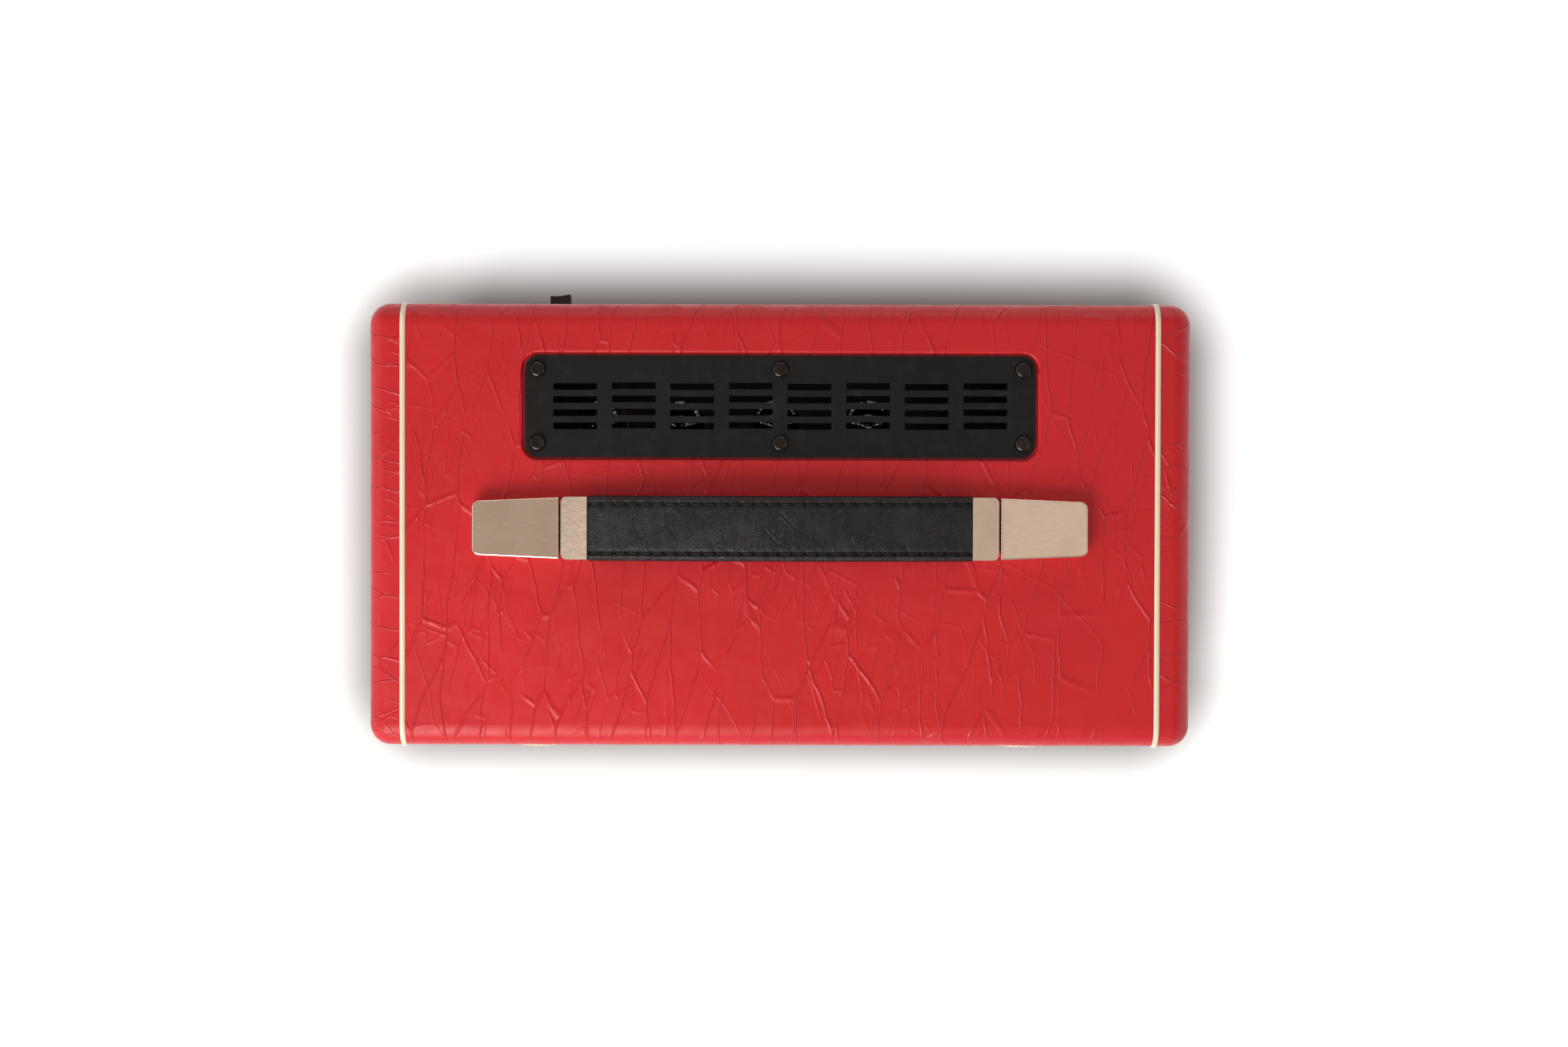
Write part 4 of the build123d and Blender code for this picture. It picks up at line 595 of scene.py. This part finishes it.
# %% Loudspeaker paper and magnet
cone_low, cone_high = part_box("speaker_cone")
cone_middle = (cone_low + cone_high) / 2
cone_paper = new_finish("cone_paper", (0.035, 0.032, 0.030), 0.85, Specular_IOR_Level=0.2)
cone_at = spot(cone_paper)
cone_radius = away_from(cone_paper, cone_at, cone_middle, (1, 0, 1))
cone_rings = maths(cone_paper, "SINE", maths(cone_paper, "MULTIPLY", cone_radius, 2 * math.pi / (4.2 * MM)))
felt = grain(cone_paper, cone_at, 0.9, 4.0)
feed(cone_paper, "Base Color", tint(cone_paper, felt, (0.022, 0.020, 0.019), (0.060, 0.055, 0.050)))
relief(cone_paper, maths(cone_paper, "ADD", maths(cone_paper, "MULTIPLY", cone_rings, 0.5), felt), 0.18)
finish_of["speaker_cone"] = cone_paper
finish_of["speaker_magnet"] = fibrous(
    "magnet_ferrite", (0.045, 0.045, 0.050), (0.075, 0.075, 0.08), 0.5, 1.5, 0.04
)
print("cone centre", [round(value, 4) for value in cone_middle])

# %% [markdown]
# ## Aerial and transformers
# The aerial is a ferrite rod with two coils of cotton-covered wire. The wire's turns are much finer than the
# mesh, so a sine wave along the rod makes them, and a band of places along X says where the coils are. The
# transformer cores are stacks of sheet iron, which the same wave turns into laminations.

# %% Coils on the ferrite rod, and laminations
def striped(name, colour, second, letter, pitch_mm, depth_mm, roughness, metallic=0.0):
    """Fine parallel lines across one axis, in two colours."""
    finish = new_finish(name, colour, roughness, metallic)
    at = spot(finish)
    turns = 2 * math.pi / (pitch_mm * MM)
    wave = maths(finish, "SINE", maths(finish, "MULTIPLY", axis_of(finish, at, letter), turns))
    mottle = grain(finish, at, 3.0, 3.0)
    share = between(finish, maths(finish, "ADD", wave, mottle), -0.4, 1.6)
    feed(finish, "Base Color", tint(finish, share, colour, second))
    feed(finish, "Roughness", between(finish, mottle, 0.3, 0.7, roughness - 0.06, roughness + 0.08))
    relief(finish, wave, depth_mm)
    return finish


finish_of["transformer_cores"] = striped(
    "laminations", (0.030, 0.030, 0.033), (0.11, 0.11, 0.12), "Y", 0.9, 0.06, 0.45, 0.6
)
aerial_low, aerial_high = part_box("ferrite_aerial")
rod_middle = (aerial_low + aerial_high) / 2
ROD_RADIUS = 4.95 * MM
aerial = striped("rod_and_coils", (0.34, 0.15, 0.05), (0.62, 0.33, 0.12), "X", 0.5, 0.07, 0.5)
aerial_at = spot(aerial)
on_coil = maths(aerial, "GREATER_THAN", away_from(aerial, aerial_at, rod_middle, (0, 1, 1)), ROD_RADIUS)
coil_paint = aerial.node_tree.nodes["Principled BSDF"].inputs["Base Color"].links[0].from_socket
feed(aerial, "Base Color", tint(aerial, on_coil, (0.045, 0.045, 0.05), coil_paint))
finish_of["ferrite_aerial"] = aerial
print("rod along X at z", round(rod_middle.z, 4))

# %% [markdown]
# ## Glass
# The dial window is thin flat glass. The valves are blown glass with a silvery cloud, the getter, fired onto
# the inside of the top. A glass shader is right for both; the cloud is a mask on the height above the valve's
# base that makes the glass metallic there.

# %% Dial glass and valves
def clear_glass(name, roughness, alpha=1.0):
    """Clear glass with a trace of dust; alpha below 1 lets light straight through a thin pane."""
    finish = new_finish(name, (0.97, 0.985, 0.975), roughness, IOR=1.47, Transmission_Weight=1.0, Alpha=alpha)
    at = spot(finish)
    dust = grain(finish, at, 20.0, 4.0)
    feed(finish, "Roughness", between(finish, dust, 0.4, 0.8, roughness, roughness + 0.06))
    return finish


finish_of["dial_glass"] = clear_glass("window_glass", 0.01, 0.30)
valve_glass = clear_glass("valve_glass", 0.015)
valve_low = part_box("valve_glasses")[0]
GETTER_FROM = valve_low.z + 37 * MM
GETTER_FULL = valve_low.z + 42 * MM
valve_at = spot(valve_glass)
getter_edge = maths(valve_glass, "MULTIPLY", grain(valve_glass, valve_at, 6.0, 3.0), 4 * MM)
getter_height = maths(valve_glass, "ADD", axis_of(valve_glass, valve_at, "Z"), getter_edge)
getter = between(valve_glass, getter_height, GETTER_FROM, GETTER_FULL)
feed(valve_glass, "Metallic", getter)
feed(valve_glass, "Base Color", tint(valve_glass, getter, (0.97, 0.985, 0.975), (0.30, 0.30, 0.31)))
finish_of["valve_glasses"] = valve_glass
finish_of["valve_electrodes"] = striped(
    "anode_plates", (0.10, 0.10, 0.105), (0.26, 0.26, 0.27), "Z", 3.2, 0.05, 0.42, 0.8
)
finish_of["dial_scale"] = cream_moulding("ivory_scale", 0.42)
print("glass finishes made")

# %% [markdown]
# ## Dress the CAD pieces
# A CAD mesh keeps its shape and its place; only the material in its slots changes. Flat faces have to stay
# flat, so faces aren't smoothed here: the CAD export already carries the right normals.

# %% Put each finish on its pieces
def dress(piece, finish):
    """Puts one finish in every material slot of a piece."""
    if not piece.material_slots:
        piece.data.materials.append(finish)
    for slot in piece.material_slots:
        slot.material = finish


for name, finish in finish_of.items():
    dress(nodes[name], finish)
left_over = sorted(set(nodes) - set(finish_of))
print("dressed", len(finish_of), "pieces; still bare:", left_over)

# %% [markdown]
# ## The strap's leather
# The strap is black leather folded round a steel core and sewn along both edges. Its grain is a net of tiny
# cells with longer wrinkles across the strap, and it is lighter in patches where hands have rubbed it: partly
# wear and partly painted sheen. The strap bends when it is lifted, so its grain follows an unwrapped map
# instead of the object's coordinates: u runs along the strap and v round it, both in metres, and a wrinkle
# keeps its size.

# %% Black leather and thread
LEATHER = (0.0060, 0.0054, 0.0054)
SEAM = 10.7 * MM
EDGE_ROUND = 2.9 * MM
STRAP_HALF_W = (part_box("left_strap")[1].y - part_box("left_strap")[0].y) / 2
TOP_MIDDLE_V = STRAP_HALF_W - EDGE_ROUND
WORN_AND_SHEEN_BLACK = (0.016, 0.0145, 0.0145)
leather = new_finish("black_strap_leather", LEATHER, 0.38, Specular_IOR_Level=0.42)
hide = spot(leather, "UV")
pebbles = place(leather, "TexVoronoi", {"Vector": hide, "Scale": 1 / (0.9 * MM)}, feature="DISTANCE_TO_EDGE")
pebble_height = between(leather, pebbles.outputs["Distance"], 0.0, 0.22)
wrinkles = grain(leather, stretch(leather, hide, (1.0, 0.32, 1.0), (0, 0, math.radians(24))), 2.6, 4.0, 0.62)
folds = between(leather, wrinkles, 0.40, 0.56)
leather_height = maths(leather, "ADD", maths(leather, "MULTIPLY", pebble_height, 0.30), folds)
relief(leather, leather_height, 0.19)
# Lighter patches of colour: partly wear, partly painted sheen where hands have rubbed the strap.
worn_and_sheen = between(leather, grain(leather, hide, 16.0, 3.0), 0.42, 0.68)
feed(leather, "Base Color", tint(leather, worn_and_sheen, LEATHER, WORN_AND_SHEEN_BLACK))
from_edge = axis_of(leather, hide, "Y")
from_middle = maths(leather, "ABSOLUTE", maths(leather, "SUBTRACT", from_edge, TOP_MIDDLE_V))
from_seam = maths(leather, "ABSOLUTE", maths(leather, "SUBTRACT", from_middle, SEAM))
by_seam = between(leather, from_seam, 0.6 * MM, 1.8 * MM, 0.32, 0.0)
gloss = between(leather, wrinkles, 0.35, 0.65, 0.30, 0.48)
feed(leather, "Roughness", maths(leather, "ADD", gloss, by_seam))
thread = fibrous("black_thread", (0.003, 0.003, 0.003), (0.008, 0.008, 0.008), 0.5, 0.3, 0.08)
print("leather grain 0.9 mm, wrinkles 2.6 mm")

# %% [markdown]
# ## The strap
# The strap is one curved band: a flat top with a little crown, a sewn groove near each edge and a rolled edge
# beyond it. It is modelled directly as rings of points along the arch. Each point's height comes from a few
# rules: crown, groove, the pull of each stitch hole, and the pressed lozenge in the middle. A cloth
# simulation would add nothing, because leather over steel doesn't sag.

# %% The strap's arch
strap_left_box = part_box("left_strap")
strap_right_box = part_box("right_strap")
STRAP_END_X = strap_right_box[1].x - 0.10 * MM
STRAP_MIDDLE_Y = (strap_left_box[1].y + strap_left_box[0].y) / 2
PIVOT_X = 95.0 * MM
ARCH_RISE = 9.0 * MM
STRAP_HALF_T = 3.5 * MM
ARCH_RADIUS = (PIVOT_X ** 2 + ARCH_RISE ** 2) / (2 * ARCH_RISE)
ARCH_CENTRE_Z = strap_left_box[1].z - STRAP_HALF_T - ARCH_RADIUS


def on_arch(along, side, lift):
    """Point at arc length along from the middle, side mm across, lift above the middle line."""
    angle = along / ARCH_RADIUS
    reach = ARCH_RADIUS + lift
    return (reach * math.sin(angle), STRAP_MIDDLE_Y + side, ARCH_CENTRE_Z + reach * math.cos(angle))


STRAP_END = ARCH_RADIUS * math.asin(STRAP_END_X / (ARCH_RADIUS + STRAP_HALF_T))
print("strap", round(2 * STRAP_END * 1000, 1), "mm long,", round(2 * STRAP_HALF_W * 1000, 1), "mm wide")

# %% The strap's section, as points round it
STITCH = 5.5 * MM


def section_line(step):
    """Places round the strap's section, from the middle of the underside all the way round."""
    flat = STRAP_HALF_W - EDGE_ROUND
    across = np.arange(-flat, flat + step / 2, step)
    across = np.linspace(-flat, flat, len(across))
    turn = np.linspace(math.pi / 2, -math.pi / 2, 15)[1:-1]
    right = [(flat + EDGE_ROUND * math.cos(t), STRAP_HALF_T * math.sin(t)) for t in turn]
    top = [(y, STRAP_HALF_T) for y in across]
    under = [(y, -STRAP_HALF_T) for y in across[::-2]]
    left = [(-y, lift) for y, lift in right[::-1]]
    return top + right + under + left


def pressed(along, side, lift):
    """How far the leather is pulled in at a point: grooves, stitch holes, edges and the lozenge."""
    from_seam = abs(abs(side) - SEAM)
    groove = 0.55 * MM * math.exp(-((from_seam / (0.95 * MM)) ** 2))
    hole = abs(math.sin(math.pi * along / STITCH))
    pull = 0.80 * MM * (1 - hole) ** 2 * math.exp(-((from_seam / (1.3 * MM)) ** 2))
    drop = groove + pull
    if lift < 0:
        return 0.6 * drop
    drop += 0.20 * MM * min(1.0, abs(side) / SEAM) ** 2
    puff = 0.10 * MM * math.sin(along / (7.3 * MM)) * math.sin(side / (4.1 * MM) + along / (19 * MM))
    diamond = abs(along) / (7.0 * MM) + abs(side) / (7.0 * MM)
    for size, depth in ((1.0, 0.34 * MM), (0.62, 0.26 * MM)):
        drop += depth * math.exp(-(((diamond - size) / 0.075) ** 2))
    return max(0.0, drop + 0.10 * MM + puff)


section = section_line(0.42 * MM)
print(len(section), "points round the strap")


# %% Build the strap
def piece_from(name, points, faces, finish, smooth=True):
    """A new mesh piece in the radio's frame."""
    mesh = bpy.data.meshes.new(name)
    mesh.from_pydata(points, [], faces)
    mesh.materials.append(finish)
    if smooth:
        mesh.polygons.foreach_set("use_smooth", [True] * len(mesh.polygons))
    mesh.update()
    piece = bpy.data.objects.new(name, mesh)
    scene.collection.objects.link(piece)
    return piece


def rings_to_faces(ring_count, ring_size, closed_ends=True):
    """Quads between neighbouring rings of points, and a cap at each end."""
    faces = []
    for ring in range(ring_count - 1):
        for k in range(ring_size):
            after = (k + 1) % ring_size
            low, high = ring * ring_size, (ring + 1) * ring_size
            faces.append((low + k, low + after, high + after, high + k))
    if closed_ends:
        last = (ring_count - 1) * ring_size
        faces.append(tuple(range(ring_size))[::-1])
        faces.append(tuple(last + k for k in range(ring_size)))
    return faces


STRAP_STEP = 0.5 * MM
strap_rings = int(round(2 * STRAP_END / STRAP_STEP)) + 1
strap_stations = np.linspace(-STRAP_END, STRAP_END, strap_rings)
strap_points = []
for along in strap_stations:
    for side, lift in section:
        if abs(lift) > 0.99 * STRAP_HALF_T:
            drop = pressed(along, side, lift)
        else:
            drop = 0.15 * MM * abs(lift) / STRAP_HALF_T
        strap_points.append(on_arch(along, side, math.copysign(max(0.0, abs(lift) - drop), lift)))
strap = piece_from("leather_strap", strap_points, rings_to_faces(strap_rings, len(section)), leather)
print("strap mesh", len(strap_points), "points")

# %% Unwrap the strap in metres
round_lengths = [0.0]
for (y0, z0), (y1, z1) in zip(section, section[1:]):
    round_lengths.append(round_lengths[-1] + math.hypot(y1 - y0, z1 - z0))
strap_map = strap.data.uv_layers.new(name="strap_map")
loop_vertices = np.empty(len(strap.data.loops), int)
strap.data.loops.foreach_get("vertex_index", loop_vertices)
u = strap_stations[loop_vertices // len(section)]
v = np.array(round_lengths)[loop_vertices % len(section)]
strap_map.data.foreach_set("uv", np.column_stack([u, v]).astype(np.float32).ravel())
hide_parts("left_strap", "right_strap")
print("strap map", round(float(v.max()) * 1000, 1), "mm round")

# %% [markdown]
# ## Stitches
# The seams are sewn with thick black thread, a stitch every five and a half millimetres. A stitch comes out
# of one hole, lies on the leather and dives into the next, so each is a short bent sausage. They are modelled
# and not painted because they catch the light one by one.

# %% Sew both edges, above and below
THREAD_RADIUS = 0.42 * MM
STITCH_SIDES = 8


def stitch_points(start, side, top):
    """Rings of one stitch from a hole at start to the next hole, leaning a little outwards."""
    rings = []
    for part in np.linspace(0.06, 0.94, 9):
        along = start + part * STITCH
        slant = math.copysign(0.28 * MM, side) * (part - 0.5)
        dive = 0.62 * MM * (2 * abs(part - 0.5)) ** 4
        radius = THREAD_RADIUS * (1 - 0.72 * (2 * abs(part - 0.5)) ** 6)
        level = STRAP_HALF_T - 0.62 * MM - dive
        for k in range(STITCH_SIDES):
            turn = 2 * math.pi * k / STITCH_SIDES
            height = level + radius * 0.8 * math.sin(turn)
            rings.append(on_arch(along, side + slant + radius * math.cos(turn), top * height))
    return rings


def winding(faces, top):
    """Faces turned the other way round for stitches on the underside."""
    return faces if top > 0 else [face[::-1] for face in faces]


stitch_all, stitch_faces = [], []
stitch_count = int(STRAP_END / STITCH)
for top in (1, -1):
    for side in (-SEAM, SEAM):
        for number in range(-stitch_count, stitch_count):
            base = len(stitch_all)
            stitch_all += stitch_points(number * STITCH, side, top)
            one = winding(rings_to_faces(9, STITCH_SIDES), top)
            stitch_faces += [tuple(base + k for k in face) for face in one]
stitches = piece_from("strap_stitches", stitch_all, stitch_faces, thread)
print(4 * 2 * stitch_count, "stitches")

# %% [markdown]
# ## The strap as one piece
# In the CAD assembly the strap is two stiff halves that meet over the middle of the lid, which is enough to
# carry the load but would show a crease. Here the strap and its stitches are each one piece along one arch,
# and their transforms are baked into their points.

# %% Bake the strap's and the stitches' transforms
for leather_piece in (strap, stitches):
    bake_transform(leather_piece)

# %% [markdown]
# ## Grille cloth
# The cloth in front of the loudspeaker is woven from thick oatmeal yarn with a gold thread every so often. It
# is stretched over the baffle and turned round its edges. It is a sheet with its own relief: every crossing
# of warp and weft stands a little proud. The finer twist of the yarn is left to the material.

# %% Yarn colours
OATMEAL = (0.60, 0.48, 0.30)
DARK_YARN = (0.34, 0.22, 0.11)
GOLD_YARN = (0.78, 0.58, 0.24)
YARN = 1.5 * MM
cloth_finish = new_finish("woven_grille", OATMEAL, 0.78, Specular_IOR_Level=0.25, Sheen_Weight=0.25)
cloth_at = spot(cloth_finish)
cloth_x = maths(cloth_finish, "MULTIPLY", axis_of(cloth_finish, cloth_at, "X"), math.pi / YARN)
cloth_z = maths(cloth_finish, "MULTIPLY", axis_of(cloth_finish, cloth_at, "Z"), math.pi / YARN)
warp = maths(cloth_finish, "ABSOLUTE", maths(cloth_finish, "SINE", cloth_x))
weft = maths(cloth_finish, "ABSOLUTE", maths(cloth_finish, "SINE", cloth_z))
across_wave = maths(cloth_finish, "SINE", cloth_x)
over = maths(cloth_finish, "MULTIPLY", across_wave, maths(cloth_finish, "SINE", cloth_z))
warp_on_top = between(cloth_finish, over, -0.12, 0.12)
yarns = place(cloth_finish, "Mix", {0: warp_on_top, 2: weft, 3: warp}).outputs[0]
fluff = grain(cloth_finish, stretch(cloth_finish, cloth_at, (3, 1, 3)), 0.5, 4.0)
gold_line = maths(cloth_finish, "SINE", maths(cloth_finish, "MULTIPLY", cloth_x, 1 / 6))
on_gold = maths(cloth_finish, "GREATER_THAN", gold_line, 0.93)
fleck = between(cloth_finish, grain(cloth_finish, cloth_at, 1.7, 3.0), 0.35, 0.7)
tone = tint(cloth_finish, fleck, OATMEAL, DARK_YARN)
# Between the yarns the colour goes dark brown: painted shade in the gaps of the weave.
woven = tint(cloth_finish, between(cloth_finish, yarns, 0.10, 0.55), (0.10, 0.065, 0.035), tone)
gold_on_top = maths(cloth_finish, "MULTIPLY", on_gold, warp_on_top)
feed(cloth_finish, "Base Color", tint(cloth_finish, gold_on_top, woven, GOLD_YARN))
relief(cloth_finish, maths(cloth_finish, "ADD", yarns, maths(cloth_finish, "MULTIPLY", fluff, 0.35)), 0.30)
print("yarn every", YARN * 1000, "mm")

# %% Weave the sheet
cloth_low, cloth_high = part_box("grille_cloth")
CLOTH_STEP = YARN / 2
CLOTH_RISE = 0.10 * MM
cloth_columns = int((cloth_high.x - cloth_low.x) / CLOTH_STEP)
cloth_rows = int((cloth_high.z - cloth_low.z) / CLOTH_STEP)


def cloth_point(column, row):
    """One point of the sheet: woven in front, and turned back round the baffle at its border."""
    x = cloth_low.x + (cloth_high.x - cloth_low.x) * column / cloth_columns
    z = cloth_low.z + (cloth_high.z - cloth_low.z) * row / cloth_rows
    edge = min(column, row, cloth_columns - column, cloth_rows - row)
    crossing = math.sin(math.pi * x / YARN + math.pi / 4) * math.sin(math.pi * z / YARN + math.pi / 4)
    turned_back = 0.55 * MM if edge == 0 else 0.0
    return (x, cloth_low.y + CLOTH_RISE * (1 - crossing) / 2 + turned_back, z)


cloth_points = [cloth_point(c, r) for r in range(cloth_rows + 1) for c in range(cloth_columns + 1)]
cloth_faces = []
for row in range(cloth_rows):
    for column in range(cloth_columns):
        corner = row * (cloth_columns + 1) + column
        above = corner + cloth_columns + 1
        cloth_faces.append((corner, corner + 1, above + 1, above))
cloth = piece_from("woven_cloth", cloth_points, cloth_faces, cloth_finish)
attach(cloth, "cabinet")
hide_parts("grille_cloth")

# %% [markdown]
# ## Printing
# The tuning scale and the marks round the volume knob are screen printed: a film of brown ink a few
# hundredths of a millimetre thick. Flat meshes that thin are enough. The digits come from a text curve that
# is turned into a mesh; the marks are plain strips. Only numbers are printed, as on any dial.

# %% Ink, strips and digits
ink = new_finish("brown_ink", (0.10, 0.035, 0.012), 0.45)
ink_at = spot(ink)
feed(ink, "Base Color", tint(ink, grain(ink, ink_at, 0.5, 3.0), (0.085, 0.028, 0.010), (0.13, 0.050, 0.020)))
feed(ink, "Roughness", between(ink, grain(ink, ink_at, 3.0), 0.3, 0.7, 0.38, 0.52))
INK_FILM = 0.03 * MM


def strip(centre, length, width, turn):
    """Four corners of a printed strip on a face towards -Y; turn is from upright, clockwise."""
    way = Vector((math.sin(turn), 0, math.cos(turn)))
    side = Vector((math.cos(turn), 0, -math.sin(turn)))
    ends = [(-1, -1), (1, -1), (1, 1), (-1, 1)]
    return [tuple(Vector(centre) + side * (a * width / 2) + way * (b * length / 2)) for a, b in ends]


def digits(text, centre, height):
    """Points and faces of a number, centred, facing -Y."""
    curve = bpy.data.curves.new("digits", "FONT")
    curve.body = text
    curve.size = height * 1.4
    curve.align_x = "CENTER"
    curve.align_y = "CENTER"
    carrier = bpy.data.objects.new("digits", curve)
    scene.collection.objects.link(carrier)
    bpy.context.view_layer.update()
    mesh = bpy.data.meshes.new_from_object(carrier.evaluated_get(bpy.context.evaluated_depsgraph_get()))
    points = [(centre[0] + p.co.x, centre[1], centre[2] + p.co.y) for p in mesh.vertices]
    faces = [tuple(face.vertices) for face in mesh.polygons]
    bpy.data.objects.remove(carrier)
    bpy.data.curves.remove(curve)
    bpy.data.meshes.remove(mesh)
    return points, faces


def print_on(name, strips, numbers, finish):
    """One printed piece from strips and numbers."""
    points, faces = [], []
    for corners in strips:
        faces.append(tuple(range(len(points), len(points) + 4)))
        points += corners
    for text, centre, height in numbers:
        more, more_faces = digits(text, centre, height)
        faces += [tuple(k + len(points) for k in face) for face in more_faces]
        points += more
    printed = piece_from(name, points, faces, finish, smooth=False)
    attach(printed, "cabinet")
    return printed


print("ink film", INK_FILM * 1000, "mm")

# %% Print the tuning scale
scale_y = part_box("dial_scale")[0].y - INK_FILM
SCALE_REACH = 57 * MM
BANDS = (
    (186.5, (6, 7, 8, 10, 12, 15, 18)),
    (195.5, (55, 60, 70, 80, 100, 120, 160)),
    (204.5, (150, 180, 210, 240, 270, 300)),
)
scale_strips, scale_numbers = [], []
for band_mm, marks in BANDS:
    band_z = band_mm * MM
    scale_strips.append(strip((0, scale_y, band_z - 2.6 * MM), 0.35 * MM, 2 * SCALE_REACH + 4 * MM, 0))
    spread = math.log(marks[-1] / marks[0])
    for mark in marks:
        x = SCALE_REACH * (2 * math.log(mark / marks[0]) / spread - 1)
        scale_strips.append(strip((x, scale_y, band_z - 1.7 * MM), 1.8 * MM, 0.45 * MM, 0))
        scale_numbers.append((str(mark), (x, scale_y, band_z + 0.9 * MM), 2.4 * MM))
    for k in range(41):
        x = SCALE_REACH * (k / 20 - 1)
        scale_strips.append(strip((x, scale_y, band_z - 2.15 * MM), 0.9 * MM, 0.22 * MM, 0))
print_on("scale_print", scale_strips, scale_numbers, ink)
print(len(scale_numbers), "numbers on the scale")

# %% Print round the volume and band knobs
panel_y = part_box("control_panel")[0].y - INK_FILM
panel_strips, panel_numbers = [], []


def knob_centre(name):
    """Where a knob's axis meets the panel."""
    low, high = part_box(name)
    return ((low.x + high.x) / 2, panel_y, (low.z + high.z) / 2)


def ring_marks(centre, radius, length, angles_degrees):
    """Strips that point away from a knob's axis."""
    for angle in angles_degrees:
        turn = math.radians(angle)
        middle = (centre[0] + radius * math.sin(turn), centre[1], centre[2] + radius * math.cos(turn))
        panel_strips.append(strip(middle, length, 0.5 * MM, turn))


volume_centre = knob_centre("volume_knob")
volume_angles = [-140 + 28 * k for k in range(11)]
ring_marks(volume_centre, 15.2 * MM, 2.2 * MM, volume_angles)
for value, angle in enumerate(volume_angles):
    turn = math.radians(angle)
    reach = 19.0 * MM
    value_x = volume_centre[0] + reach * math.sin(turn)
    value_z = volume_centre[2] + reach * math.cos(turn)
    place_of_value = (value_x, panel_y, value_z)
    panel_numbers.append((str(value), place_of_value, 2.6 * MM))
ring_marks(knob_centre("band_knob"), 11.5 * MM, 1.4 * MM, (-30, 0, 30))
print_on("panel_print", panel_strips, panel_numbers, ink)
print(len(panel_numbers), "numbers on the panel")
